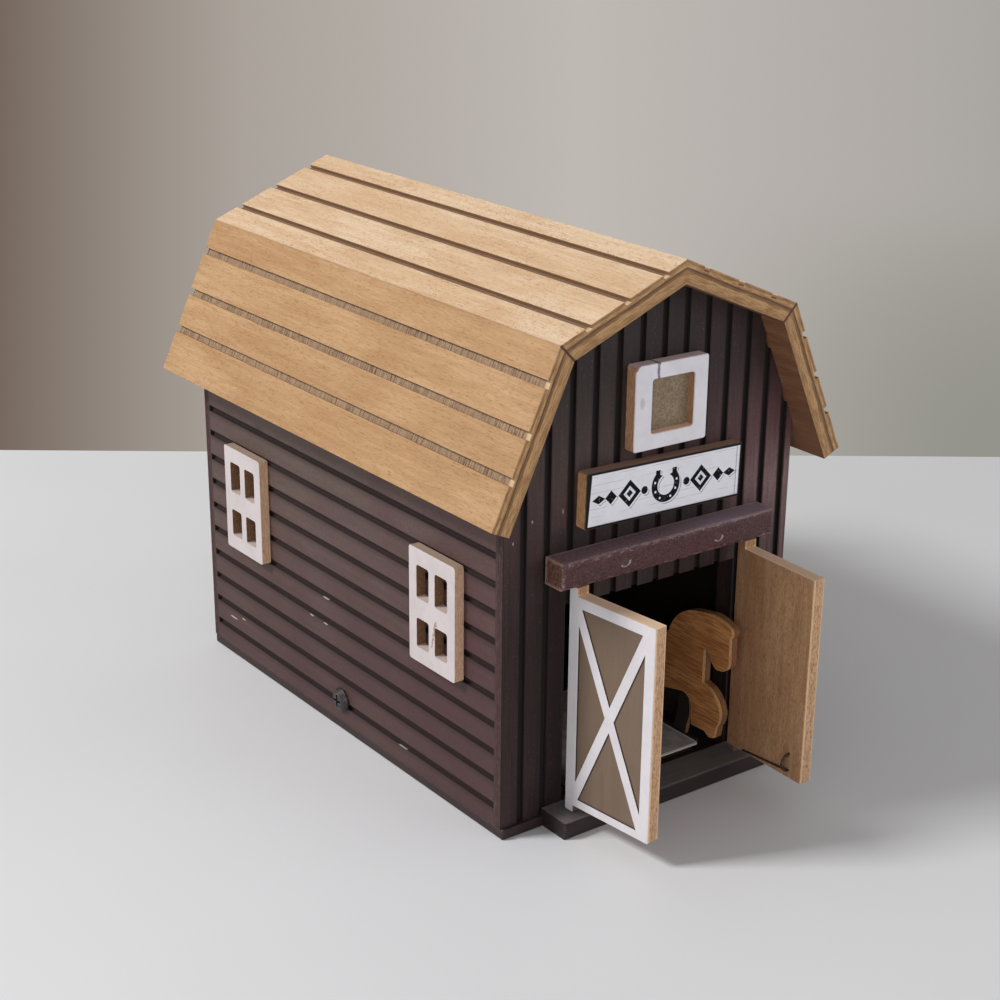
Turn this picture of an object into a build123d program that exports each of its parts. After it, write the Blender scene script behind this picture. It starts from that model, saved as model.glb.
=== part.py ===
"""A toy barn with a gambrel roof, two hinged doors and a horse on a slide.

All lengths are millimetres. The front faces -Y, +X is on the right seen from the
front, Z is up, and the origin lies on the table under the centre of the walls.
The doors stand open and the horse is out: that is the position at rest.
"""
from build123d import *
from math import atan2, cos, degrees, hypot, radians, sin
import os

os.makedirs("parts", exist_ok=True)

# ---------------------------------------------------------------- sheet stock
THIN_PLY = 3.2
THICK_PLY = 6.4
WINDOW_PLY = 3.1
FRONT_PLY = 3.8

# ---------------------------------------------------------------- barn body
BODY_WIDTH = 108.0
BODY_DEPTH = 171.5
BASE_THICKNESS = THIN_PLY
BASE_PROUD = 1.2
BASE_CORNER = 0.8
BASE_LIP = 0.4
FRONT_Y = -BODY_DEPTH / 2
BACK_Y = BODY_DEPTH / 2
FLOOR_Z = BASE_THICKNESS
SIDE_WALL = THICK_PLY
END_WALL = THIN_PLY
INNER_X = BODY_WIDTH / 2 - SIDE_WALL

# ---------------------------------------------------------------- roof outline
RIDGE_Z = 166.1
KNUCKLE = (43.1, 148.2)
EAVE = (64.9, 100.3)
ROOF_THICKNESS = THICK_PLY
ROOF_OVER_FRONT = 9.85
ROOF_OVER_BACK = 7.45
ROOF_FRONT = FRONT_Y - ROOF_OVER_FRONT
ROOF_BACK = BACK_Y + ROOF_OVER_BACK
ROOF_GROOVE_WIDTH = 2.3
ROOF_GROOVE_DEPTH = 1.3
UPPER_GROOVES = (8.2, 22.6, 36.8)
LOWER_GROOVES = (10.8, 25.2, 38.2)

# ---------------------------------------------------------------- plank grooves
SIDE_GROOVE_WIDTH = 2.1
SIDE_GROOVE_DEPTH = 1.2
SIDE_GROOVE_FIRST = 9.65
SIDE_GROOVE_PITCH = 8.62
SIDE_GROOVE_COUNT = 10
END_GROOVE_WIDTH = 2.2
END_GROOVE_DEPTH = 1.2
END_GROOVE_PITCH = 8.1
END_GROOVE_CENTRE = 1.65
END_GROOVES_EACH_SIDE = 6

# ---------------------------------------------------------------- front furniture
FRONT_SHIFT = 0.8
WALL_BESIDE_DOORWAY = 22.0
DOORWAY_WIDTH = BODY_WIDTH - 2 * WALL_BESIDE_DOORWAY
DOORWAY_TOP = 68.0
BAR_PAST_DOORWAY = 8.0
LINTEL_LENGTH = DOORWAY_WIDTH + 2 * BAR_PAST_DOORWAY
LINTEL_SQUARE = 8.2
LINTEL_ROUND = 1.4
LINTEL_ABOVE_DOORWAY = 8.6
LINTEL_Z = DOORWAY_TOP + LINTEL_ABOVE_DOORWAY
THRESHOLD_LENGTH = LINTEL_LENGTH
THRESHOLD_HEIGHT = 5.5
THRESHOLD_REACH = 11.7
THRESHOLD_ROUND = 0.7
POST_WIDTH = THICK_PLY
POST_DEPTH = 3.5
POST_HEIGHT = DOORWAY_TOP + 5.2 - FLOOR_Z
BRAD_SPACING = 35.4
BRAD_Z = LINTEL_Z + LINTEL_SQUARE / 2
BRAD_HEAD = 2.4
BRAD_HEAD_DEPTH = 0.8
BRAD_SUNK = 0.15
BRAD_SHANK = 1.2
BRAD_LENGTH = 9.8
SIGN_LENGTH = 58.6
SIGN_HEIGHT = 16.7
SIGN_CENTRE = (0.8, 98.95)
SIGN_TILT = -1.2
LOFT_WIDTH = 27.1
LOFT_HEIGHT = 25.2
LOFT_ABOVE_SIGN = 3.5
LOFT_CENTRE = (
    1.8,
    SIGN_CENTRE[1] + SIGN_HEIGHT / 2 + LOFT_ABOVE_SIGN + LOFT_HEIGHT / 2,
)
LOFT_HOLE_WIDTH = 15.6
LOFT_HOLE_HEIGHT = 16.0
LOFT_HOLE_CENTRE = (LOFT_CENTRE[0] + 0.6, LOFT_CENTRE[1])
LOFT_BACKING = 1.0

# ---------------------------------------------------------------- side windows
WINDOW_WIDTH = 23.4
WINDOW_HEIGHT = 35.8
WINDOW_Z = 61.3
WINDOW_FROM_END = 30.15
WINDOW_Y = BODY_DEPTH / 2 - WINDOW_FROM_END
PANE_WIDTH = 6.3
PANE_PITCH = 9.4
PANE_UPPER = (10.4, 68.9)
PANE_LOWER = (9.3, 52.8)
DIE_CORNER = 0.9
FACE_SOFTENING = 0.2

# ---------------------------------------------------------------- doors
HINGE_SPACING = DOORWAY_WIDTH + 0.1
HINGE_FORWARD = 5.75
DOORS_CENTRE = 0.65
DOORS_GAP = 0.2
DOOR_OPEN = {-1: 84.0, 1: 88.3}
DOOR_THICKNESS = 4.3
DOOR_REACH = (HINGE_SPACING - DOORS_GAP) / 2
DOOR_LOW = THRESHOLD_HEIGHT + 2.4
DOOR_HIGH = LINTEL_Z - 2.8
DOOR_CORNER = 0.6
DOOR_EDGE = 0.5
TAB_HALF = 1.55
TAB_GAP = 0.3
STILE_HINGE = 3.9
STILE_FREE = 3.75
RAIL_TOP = 3.3
RAIL_FOOT = 2.5
BRACE_WIDTH = 3.2
BRACE_DROP = 1.5
GROUND_DEPTH = 0.35
PIN_DIAMETER = 1.4
PIN_RUNNING = 0.05
PIN_IN_DOOR = 7.0
PIN_IN_BEARING = 4.0
PIN_HOLE_SPARE = 0.3
STAPLE_WIRE = 0.9
STAPLE_HALF = 2.75
STAPLE_LEG = 1.6
STAPLE_AT = (26.5, 13.1)
TAIL_WIRE = 0.6
TAIL_LIFT = 0.1
WIRE_FLAT_COUNT = 8
TAIL_END = (6.0, DOOR_LOW + TAIL_WIRE)

# ---------------------------------------------------------------- horse and slide
SHEET_THICKNESS = 0.6
SHEET_FROM_JAMB = 6.4
SHEET_HALF_WIDTH = DOORWAY_WIDTH / 2 - SHEET_FROM_JAMB
SHEET_FRONT = FRONT_Y + 3.75
SHEET_LENGTH = 54.0
SHEET_BACK = SHEET_FRONT + SHEET_LENGTH
SLIDE_THICKNESS = 2.2
SLIDE_HALF_WIDTH = SHEET_HALF_WIDTH - 1.2
SLIDE_SETBACK = 1.5
RAIL_GAP = 0.25
RAIL_WIDTH = 4.0
RAIL_HEIGHT = 1.95
RAIL_FRONT = SHEET_FRONT + 3.5
RAIL_PAST_SHEET = 34.0
RAIL_BACK = SHEET_BACK + RAIL_PAST_SHEET
HORSE_FROM_JAMB = 9.0
HORSE_X = DOORWAY_WIDTH / 2 - HORSE_FROM_JAMB
HORSE_PLY = THIN_PLY
LEG_PLY = 1.4
SHEET_TOP = FLOOR_Z + SLIDE_THICKNESS + SHEET_THICKNESS

# ---------------------------------------------------------------- cleats and screws
CLEAT = 12.0
CLEAT_FROM_END = 15.75
CLEAT_HALF_LENGTH = BODY_DEPTH / 2 - CLEAT_FROM_END
SCREW_Z = 11.1
SCREW_HEAD = 7.8
SCREW_HEAD_HEIGHT = 2.3
SCREW_CROWN_RATIOS = ((1.0, 0.0), (1.0, 0.32), (0.87, 0.72), (0.62, 1.0), (0.0, 1.0))
SCREW_SHANK = 3.0
SCREW_INTO_CLEAT = 8.0
CROSS_WIDTH = 0.9
CROSS_SPAN = 4.4
CROSS_DEPTH = 1.3

SIDES = ((-1, "left"), (1, "right"))


def save(built, label):
    """Name the finished piece and write it as its own STEP file."""
    built.part.label = label
    export_step(built.part, f"parts/{label}.step")
    print(label, len(built.part.solids()), round(built.part.volume, 1))


def facing_front(y):
    """Drawing plane seen from the front: x is right, y is up, normal is -Y."""
    return Plane(origin=(0, y, 0), x_dir=(1, 0, 0), z_dir=(0, -1, 0))


def seen_from_side(x, y=0, z=0):
    """Drawing plane across the barn: x is the barn's y, y is up, normal is +X."""
    return Plane(origin=(x, y, z), x_dir=(0, 1, 0), z_dir=(1, 0, 0))


# ---------------------------------------------------------------- roof geometry
UPPER_LENGTH = hypot(KNUCKLE[0], RIDGE_Z - KNUCKLE[1])
UPPER_SLOPE = atan2(RIDGE_Z - KNUCKLE[1], KNUCKLE[0])
LOWER_LENGTH = hypot(EAVE[0] - KNUCKLE[0], KNUCKLE[1] - EAVE[1])
LOWER_SLOPE = atan2(KNUCKLE[1] - EAVE[1], EAVE[0] - KNUCKLE[0])
MITRE = (LOWER_SLOPE - UPPER_SLOPE) / 2
MITRE_LENGTH = ROOF_THICKNESS / cos(MITRE)
MITRE_ANGLE = (LOWER_SLOPE + UPPER_SLOPE) / 2
RIDGE_INNER = (0.0, RIDGE_Z - ROOF_THICKNESS / cos(UPPER_SLOPE))
KNUCKLE_INNER = (
    KNUCKLE[0] - MITRE_LENGTH * sin(MITRE_ANGLE),
    KNUCKLE[1] - MITRE_LENGTH * cos(MITRE_ANGLE),
)
EAVE_INNER = (
    EAVE[0] - ROOF_THICKNESS * sin(LOWER_SLOPE),
    EAVE[1] - ROOF_THICKNESS * cos(LOWER_SLOPE),
)


def underside(x):
    """Height of the lower roof boards' underside at a distance x from the middle."""
    fall = (EAVE_INNER[1] - KNUCKLE_INNER[1]) / (EAVE_INNER[0] - KNUCKLE_INNER[0])
    return KNUCKLE_INNER[1] + fall * (x - KNUCKLE_INNER[0])


def roof_board(side, corners, start, slope, grooves, label):
    """One roof board: its mitred section, less three grooves, run along the barn."""
    with BuildPart() as board:
        with BuildSketch(facing_front(ROOF_BACK)):
            with BuildLine():
                Polyline([(side * x, z) for x, z in corners], close=True)
            make_face()
            for along in grooves:
                centre = (
                    side * (start[0] + along * cos(slope)),
                    start[1] - along * sin(slope),
                )
                with Locations(Location((*centre, 0), (0, 0, -side * degrees(slope)))):
                    Rectangle(
                        ROOF_GROOVE_WIDTH,
                        2 * ROOF_GROOVE_DEPTH,
                        mode=Mode.SUBTRACT,
                    )
        extrude(amount=ROOF_BACK - ROOF_FRONT)
    save(board, label)


for side, word in SIDES:
    roof_board(
        side,
        ((0, RIDGE_Z), KNUCKLE, KNUCKLE_INNER, RIDGE_INNER),
        (0, RIDGE_Z),
        UPPER_SLOPE,
        UPPER_GROOVES,
        f"{word}_upper_roof",
    )
    roof_board(
        side,
        (KNUCKLE, EAVE, EAVE_INNER, KNUCKLE_INNER),
        KNUCKLE,
        LOWER_SLOPE,
        LOWER_GROOVES,
        f"{word}_lower_roof",
    )

# ---------------------------------------------------------------- base and threshold
BASE_FRONT = FRONT_Y - BASE_PROUD
BASE_LENGTH = BACK_Y - BASE_FRONT

with BuildPart() as base_panel:
    with BuildSketch(Plane.XY):
        with Locations((0, (BASE_FRONT + BACK_Y) / 2)):
            Rectangle(BODY_WIDTH, BASE_LENGTH)
    extrude(amount=BASE_THICKNESS)
    fillet(base_panel.edges().filter_by(Axis.Z), radius=BASE_CORNER)
    front_lip = base_panel.faces().filter_by(Plane.XZ).sort_by(Axis.Y)[0]
    chamfer(front_lip.edges().filter_by(Axis.X), length=BASE_LIP)
save(base_panel, "base_panel")

HINGE_Y = FRONT_Y - HINGE_FORWARD
HINGE_X = {side: DOORS_CENTRE + side * HINGE_SPACING / 2 for side, word in SIDES}
PIN_BORE = PIN_DIAMETER / 2 + PIN_RUNNING
BORE_DEPTH = PIN_IN_BEARING + PIN_HOLE_SPARE

with BuildPart() as threshold:
    with BuildSketch(seen_from_side(FRONT_SHIFT - THRESHOLD_LENGTH / 2)):
        with BuildLine():
            Polyline(
                (FRONT_Y, BASE_THICKNESS),
                (BASE_FRONT, BASE_THICKNESS),
                (BASE_FRONT, 0),
                (FRONT_Y - THRESHOLD_REACH, 0),
                (FRONT_Y - THRESHOLD_REACH, THRESHOLD_HEIGHT),
                (FRONT_Y, THRESHOLD_HEIGHT),
                close=True,
            )
        make_face()
    extrude(amount=THRESHOLD_LENGTH)
    nose = threshold.faces().filter_by(Plane.XZ).sort_by(Axis.Y)[0]
    fillet(nose.edges(), radius=THRESHOLD_ROUND)
    with Locations(*[(x, HINGE_Y, THRESHOLD_HEIGHT) for x in HINGE_X.values()]):
        Hole(radius=PIN_BORE, depth=BORE_DEPTH)
save(threshold, "threshold")

# ---------------------------------------------------------------- side walls
GROOVE_HEIGHTS = [
    SIDE_GROOVE_FIRST + SIDE_GROOVE_PITCH * n for n in range(SIDE_GROOVE_COUNT)
]
WALL_LENGTH = BODY_DEPTH - 2 * END_WALL

for side, word in SIDES:
    with BuildPart() as wall:
        with BuildSketch(facing_front(WALL_LENGTH / 2)):
            with BuildLine():
                Polyline(
                    (side * INNER_X, FLOOR_Z),
                    (side * BODY_WIDTH / 2, FLOOR_Z),
                    (side * BODY_WIDTH / 2, underside(BODY_WIDTH / 2)),
                    (side * INNER_X, underside(INNER_X)),
                    close=True,
                )
            make_face()
            with Locations(*[(side * BODY_WIDTH / 2, z) for z in GROOVE_HEIGHTS]):
                Rectangle(
                    2 * SIDE_GROOVE_DEPTH, SIDE_GROOVE_WIDTH, mode=Mode.SUBTRACT
                )
        extrude(amount=WALL_LENGTH)
        outer = seen_from_side(side * BODY_WIDTH / 2)
        with BuildSketch(outer):
            with Locations((0, SCREW_Z)):
                Circle(SCREW_SHANK / 2)
        extrude(amount=-side * SIDE_WALL, mode=Mode.SUBTRACT)
    save(wall, f"{word}_wall")

# ---------------------------------------------------------------- end walls
END_GROOVES = [
    END_GROOVE_CENTRE + END_GROOVE_PITCH * n
    for n in range(-END_GROOVES_EACH_SIDE, END_GROOVES_EACH_SIDE + 1)
]
GABLE = (
    (-BODY_WIDTH / 2, FLOOR_Z),
    (BODY_WIDTH / 2, FLOOR_Z),
    (BODY_WIDTH / 2, underside(BODY_WIDTH / 2)),
    KNUCKLE_INNER,
    RIDGE_INNER,
    (-KNUCKLE_INNER[0], KNUCKLE_INNER[1]),
    (-BODY_WIDTH / 2, underside(BODY_WIDTH / 2)),
)


BRAD_PLACES = [(FRONT_SHIFT + s * BRAD_SPACING / 2, BRAD_Z) for s in (-1, 1)]


def end_wall(outer_y, outward, label, doorway):
    """A gable wall cut to the roof's underside, with vertical plank grooves."""
    with BuildPart() as wall:
        with BuildSketch(facing_front(outer_y)):
            with BuildLine():
                Polyline(*GABLE, close=True)
            make_face()
        extrude(amount=-outward * END_WALL)
        with BuildSketch(facing_front(outer_y)):
            with Locations(*[(x, RIDGE_Z / 2) for x in END_GROOVES]):
                Rectangle(END_GROOVE_WIDTH, RIDGE_Z)
        extrude(amount=-outward * END_GROOVE_DEPTH, mode=Mode.SUBTRACT)
        if doorway:
            with BuildSketch(facing_front(outer_y)):
                with Locations((FRONT_SHIFT, (FLOOR_Z + DOORWAY_TOP) / 2)):
                    Rectangle(DOORWAY_WIDTH, DOORWAY_TOP - FLOOR_Z)
                with Locations(*BRAD_PLACES):
                    Circle(BRAD_SHANK / 2)
            extrude(amount=-outward * END_WALL, mode=Mode.SUBTRACT)
    save(wall, label)


end_wall(FRONT_Y, 1, "front_wall", doorway=True)
end_wall(BACK_Y, -1, "back_wall", doorway=False)

# ---------------------------------------------------------------- door posts
POST_X = DOORWAY_WIDTH / 2 + POST_WIDTH / 2
for side, word in SIDES:
    with BuildPart() as post:
        with BuildSketch(Plane.XY.offset(FLOOR_Z)):
            with Locations(
                (FRONT_SHIFT + side * POST_X, FRONT_Y + END_WALL + POST_DEPTH / 2)
            ):
                Rectangle(POST_WIDTH, POST_DEPTH)
        extrude(amount=POST_HEIGHT)
    save(post, f"{word}_door_post")

# ---------------------------------------------------------------- lintel and brads
LINTEL_FRONT = FRONT_Y - LINTEL_SQUARE

with BuildPart() as lintel:
    with BuildSketch(seen_from_side(FRONT_SHIFT - LINTEL_LENGTH / 2)):
        with Locations((FRONT_Y - LINTEL_SQUARE / 2, LINTEL_Z + LINTEL_SQUARE / 2)):
            Rectangle(LINTEL_SQUARE, LINTEL_SQUARE)
    extrude(amount=LINTEL_LENGTH)
    bar_front = lintel.faces().filter_by(Plane.XZ).sort_by(Axis.Y)[0]
    fillet(bar_front.edges(), radius=LINTEL_ROUND)
    bores = [Location((x, HINGE_Y, LINTEL_Z), (180, 0, 0)) for x in HINGE_X.values()]
    with Locations(*bores):
        Hole(radius=PIN_BORE, depth=BORE_DEPTH)
    with BuildSketch(facing_front(FRONT_Y)):
        with Locations(*BRAD_PLACES):
            Circle(BRAD_SHANK / 2)
    extrude(amount=LINTEL_SQUARE, mode=Mode.SUBTRACT)
    with BuildSketch(facing_front(LINTEL_FRONT + BRAD_HEAD_DEPTH)):
        with Locations(*BRAD_PLACES):
            Circle(BRAD_HEAD / 2)
    extrude(amount=BRAD_HEAD_DEPTH, mode=Mode.SUBTRACT)
save(lintel, "lintel")

with BuildPart() as lintel_brads:
    with BuildSketch(facing_front(LINTEL_FRONT + BRAD_HEAD_DEPTH)):
        with Locations(*BRAD_PLACES):
            Circle(BRAD_HEAD / 2)
    extrude(amount=BRAD_HEAD_DEPTH - BRAD_SUNK)
    with BuildSketch(facing_front(LINTEL_FRONT + BRAD_LENGTH)):
        with Locations(*BRAD_PLACES):
            Circle(BRAD_SHANK / 2)
    extrude(amount=BRAD_LENGTH - BRAD_HEAD_DEPTH)
save(lintel_brads, "lintel_brads")

# ---------------------------------------------------------------- sign and loft window
with BuildPart() as sign_board:
    with BuildSketch(facing_front(FRONT_Y)):
        with Locations(Location((*SIGN_CENTRE, 0), (0, 0, SIGN_TILT))):
            RectangleRounded(SIGN_LENGTH, SIGN_HEIGHT, DIE_CORNER)
    extrude(amount=FRONT_PLY)
    sign_face = sign_board.faces().sort_by(Axis.Y)[0]
    chamfer(sign_face.edges(), length=FACE_SOFTENING)
save(sign_board, "sign_board")

with BuildPart() as loft_window_frame:
    with BuildSketch(facing_front(FRONT_Y)):
        with Locations(LOFT_CENTRE):
            RectangleRounded(LOFT_WIDTH, LOFT_HEIGHT, DIE_CORNER)
        with Locations(LOFT_HOLE_CENTRE):
            RectangleRounded(
                LOFT_HOLE_WIDTH, LOFT_HOLE_HEIGHT, DIE_CORNER, mode=Mode.SUBTRACT
            )
    extrude(amount=FRONT_PLY)
    loft_face = loft_window_frame.faces().sort_by(Axis.Y)[0]
    chamfer(loft_face.edges(), length=FACE_SOFTENING)
save(loft_window_frame, "loft_window_frame")

with BuildPart() as loft_window_backing:
    with BuildSketch(facing_front(FRONT_Y)):
        with Locations(LOFT_HOLE_CENTRE):
            RectangleRounded(LOFT_HOLE_WIDTH, LOFT_HOLE_HEIGHT, DIE_CORNER)
    extrude(amount=LOFT_BACKING)
save(loft_window_backing, "loft_window_backing")

# ---------------------------------------------------------------- side windows
for side, word in SIDES:
    for end, place in ((-1, "front"), (1, "rear")):
        with BuildPart() as window:
            with BuildSketch(seen_from_side(side * BODY_WIDTH / 2)):
                with Locations((end * WINDOW_Y, WINDOW_Z)):
                    RectangleRounded(WINDOW_WIDTH, WINDOW_HEIGHT, DIE_CORNER)
                for height, middle in (PANE_UPPER, PANE_LOWER):
                    with Locations(
                        (end * WINDOW_Y - PANE_PITCH / 2, middle),
                        (end * WINDOW_Y + PANE_PITCH / 2, middle),
                    ):
                        RectangleRounded(
                            PANE_WIDTH, height, DIE_CORNER, mode=Mode.SUBTRACT
                        )
            extrude(amount=side * WINDOW_PLY)
        save(window, f"{word}_{place}_window")

# ---------------------------------------------------------------- doors
TAB_LOW = THRESHOLD_HEIGHT + TAB_GAP
TAB_HIGH = LINTEL_Z - TAB_GAP


def door_plane(side):
    """Plane of an open door: x runs from the hinge to the free edge, y is up."""
    swing = radians(DOOR_OPEN[side])
    return Plane(
        origin=(HINGE_X[side], HINGE_Y, 0),
        x_dir=(-side * cos(swing), -sin(swing), 0),
        z_dir=(-sin(swing), side * cos(swing), 0),
    )


def brace_panels():
    """Corners of the four ground triangles left between the frame and the X.

    Each brace starts a little down the stile from the frame's inner corner, so the
    triangles above and below the X are wider than they would be on a true diagonal.
    """
    left = STILE_HINGE - TAB_HALF
    right = DOOR_REACH - STILE_FREE
    low = DOOR_LOW + RAIL_FOOT
    high = DOOR_HIGH - RAIL_TOP
    middle = ((left + right) / 2, (low + high) / 2)
    rise = (high - low - 2 * BRACE_DROP) / (right - left)
    upward = BRACE_WIDTH / 2 * hypot(1, rise)
    across = upward / rise
    inset = (upward - BRACE_DROP) / rise
    short = BRACE_DROP + upward
    return (
        ((left, low + short), (left, high - short), (middle[0] - across, middle[1])),
        ((right, low + short), (right, high - short), (middle[0] + across, middle[1])),
        ((left + inset, low), (right - inset, low), (middle[0], middle[1] - upward)),
        ((left + inset, high), (right - inset, high), (middle[0], middle[1] + upward)),
    )


STAPLE_FEET = [(STAPLE_AT[0], STAPLE_AT[1] + end * STAPLE_HALF) for end in (-1, 1)]


for side, word in SIDES:
    plane = door_plane(side)
    outward = -side
    with BuildPart() as door:
        with BuildSketch(plane):
            with BuildLine():
                Polyline(
                    (-TAB_HALF, TAB_LOW),
                    (TAB_HALF, TAB_LOW),
                    (TAB_HALF, DOOR_LOW),
                    (DOOR_REACH, DOOR_LOW),
                    (DOOR_REACH, DOOR_HIGH),
                    (TAB_HALF, DOOR_HIGH),
                    (TAB_HALF, TAB_HIGH),
                    (-TAB_HALF, TAB_HIGH),
                    close=True,
                )
            outline = make_face()
            fillet(outline.vertices().sort_by(Axis.Z)[:2], radius=DOOR_CORNER)
        extrude(amount=DOOR_THICKNESS / 2, both=True)
        free_edge = door.faces().sort_by(
            Axis((HINGE_X[side], HINGE_Y, 0), tuple(plane.x_dir))
        )[-1]
        fillet(free_edge.edges(), radius=DOOR_EDGE)
        with BuildSketch(plane.offset(outward * DOOR_THICKNESS / 2)):
            for corners in brace_panels():
                with BuildLine():
                    Polyline(*corners, close=True)
                make_face()
        extrude(amount=-outward * GROUND_DEPTH, mode=Mode.SUBTRACT)
        with Locations(
            Location((HINGE_X[side], HINGE_Y, TAB_HIGH)),
            Location((HINGE_X[side], HINGE_Y, TAB_LOW), (180, 0, 0)),
        ):
            Hole(radius=PIN_DIAMETER / 2, depth=PIN_IN_DOOR)
        with BuildSketch(plane.offset(side * DOOR_THICKNESS / 2)):
            with Locations(*STAPLE_FEET):
                RegularPolygon(STAPLE_WIRE / 2, WIRE_FLAT_COUNT)
        extrude(amount=-side * STAPLE_LEG, mode=Mode.SUBTRACT)
    save(door, f"{word}_door")

    with BuildPart() as pins:
        for start, reach in (
            (TAB_HIGH - PIN_IN_DOOR, TAB_GAP + PIN_IN_DOOR + PIN_IN_BEARING),
            (TAB_LOW + PIN_IN_DOOR, -(TAB_GAP + PIN_IN_DOOR + PIN_IN_BEARING)),
        ):
            with BuildSketch(Plane.XY.offset(start)):
                with Locations((HINGE_X[side], HINGE_Y)):
                    Circle(PIN_DIAMETER / 2)
            extrude(amount=reach)
    save(pins, f"{word}_door_pins")

    face = side * DOOR_THICKNESS / 2
    lie = face + side * (TAIL_WIRE / 2 + TAIL_LIFT)
    bow = Axis(plane.from_local_coords((*STAPLE_AT, face)), plane.x_dir)
    tail_start = plane.from_local_coords((*STAPLE_FEET[0], lie))
    tail_end = plane.from_local_coords((*TAIL_END, lie))
    with BuildPart() as pull_wire:
        with BuildSketch(plane.offset(face)):
            with Locations(STAPLE_FEET[0]):
                RegularPolygon(STAPLE_WIRE / 2, WIRE_FLAT_COUNT)
        revolve(axis=bow, revolution_arc=-side * 180)
        with BuildSketch(plane.offset(face)):
            with Locations(*STAPLE_FEET):
                RegularPolygon(STAPLE_WIRE / 2, WIRE_FLAT_COUNT)
        extrude(amount=-side * STAPLE_LEG)
        with BuildSketch(Plane(origin=tail_start, z_dir=tail_end - tail_start)):
            RegularPolygon(TAIL_WIRE / 2, WIRE_FLAT_COUNT)
        extrude(amount=(tail_end - tail_start).length)
    save(pull_wire, f"{word}_pull_wire")

# ---------------------------------------------------------------- slide, rails, sheet
with BuildPart() as slide_board:
    with BuildSketch(Plane.XY.offset(FLOOR_Z)):
        with Locations((0, (SHEET_FRONT + SLIDE_SETBACK + SHEET_BACK) / 2)):
            Rectangle(2 * SLIDE_HALF_WIDTH, SHEET_BACK - SHEET_FRONT - SLIDE_SETBACK)
    extrude(amount=SLIDE_THICKNESS)
save(slide_board, "slide_board")

with BuildPart() as slide_sheet:
    with BuildSketch(Plane.XY.offset(FLOOR_Z + SLIDE_THICKNESS)):
        with Locations((0, (SHEET_FRONT + SHEET_BACK) / 2)):
            RectangleRounded(2 * SHEET_HALF_WIDTH, SHEET_BACK - SHEET_FRONT, DIE_CORNER)
    extrude(amount=SHEET_THICKNESS)
save(slide_sheet, "slide_sheet")

for side, word in SIDES:
    with BuildPart() as rail:
        with BuildSketch(Plane.XY.offset(FLOOR_Z)):
            with Locations(
                (
                    side * (SLIDE_HALF_WIDTH + RAIL_GAP + RAIL_WIDTH / 2),
                    (RAIL_FRONT + RAIL_BACK) / 2,
                )
            ):
                Rectangle(RAIL_WIDTH, RAIL_BACK - RAIL_FRONT)
        extrude(amount=RAIL_HEIGHT)
    save(rail, f"{word}_guide_rail")

# ---------------------------------------------------------------- horse
# Each outline is measured from the foot of the front wall's face: the first number
# runs back into the barn, the second up from the sheet the horse stands on. A step
# of one point is a straight cut to it, a step of two points an arc through the first.
NECK_FOOT = (17.0, 34.5)
HORSE_OUTLINE = (
    ((13.4, 40.7), (5.5, 45.0)),
    ((-1.9, 46.4),),
    ((-6.9, 46.0), (-10.9, 44.7)),
    ((-11.6, 43.4), (-10.7, 41.3)),
    ((-10.9, 33.3),),
    ((-10.0, 30.9), (-7.9, 29.7)),
    ((-5.6, 29.3),),
    ((-3.8, 30.4), (-2.6, 32.6)),
    ((-0.5, 34.3),),
    ((0.5, 33.8),),
    ((0.6, 22.7),),
    ((-2.8, 21.9),),
    ((-6.0, 19.5), (-8.1, 15.7)),
    ((-8.0, 12.9), (-6.6, 10.0)),
    ((-5.9, 6.2),),
    ((-3.4, 5.6),),
    ((-1.5, 6.9),),
    ((4.6, 6.8),),
    ((5.0, 12.2),),
    ((6.5, 15.3), (10.2, 16.3)),
    ((17.0, 14.8),),
    ((25.0, 14.2), (32.2, 15.2)),
    ((34.6, 13.8), (34.9, 11.0)),
    ((32.6, 0.0),),
    ((38.9, 0.0),),
    ((41.2, 9.4), (47.4, 18.6)),
    ((49.8, 14.0), (51.2, 8.6)),
    ((53.6, 9.4),),
    ((53.0, 20.0), (47.5, 28.6)),
    ((41.2, 31.4), (33.4, 30.2)),
    ((26.0, 29.9), (19.2, 32.0)),
    (NECK_FOOT,),
)
LEG_TOE = (10.9, 0.0)
LEG_OUTLINE = (
    ((10.0, 4.4),),
    ((9.2, 8.0), (9.8, 11.6)),
    ((6.4, 25.0),),
    ((17.2, 24.0),),
    ((14.6, 11.0), (16.9, 0.0)),
    (LEG_TOE,),
)


def cut_plate(label, x, thickness, start, steps):
    """A plate standing along the barn, cut to an outline of lines and arcs."""
    with BuildPart() as plate:
        with BuildSketch(seen_from_side(x, FRONT_Y, SHEET_TOP)):
            with BuildLine():
                here = start
                for *through, end in steps:
                    if through:
                        ThreePointArc(here, through[0], end)
                    else:
                        Line(here, end)
                    here = end
            make_face()
        extrude(amount=thickness)
    save(plate, label)


cut_plate("horse", HORSE_X, HORSE_PLY, NECK_FOOT, HORSE_OUTLINE)
cut_plate("horse_far_leg", HORSE_X + HORSE_PLY, LEG_PLY, LEG_TOE, LEG_OUTLINE)

# ---------------------------------------------------------------- cleats and side screws
for side, word in SIDES:
    with BuildPart() as cleat:
        with BuildSketch(Plane.XY.offset(FLOOR_Z)):
            with Locations((side * (INNER_X - CLEAT / 2), 0)):
                Rectangle(CLEAT, 2 * CLEAT_HALF_LENGTH)
        extrude(amount=CLEAT)
        with BuildSketch(seen_from_side(side * INNER_X)):
            with Locations((0, SCREW_Z)):
                Circle(SCREW_SHANK / 2)
        extrude(amount=-side * SCREW_INTO_CLEAT, mode=Mode.SUBTRACT)
    save(cleat, f"{word}_floor_cleat")

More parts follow.
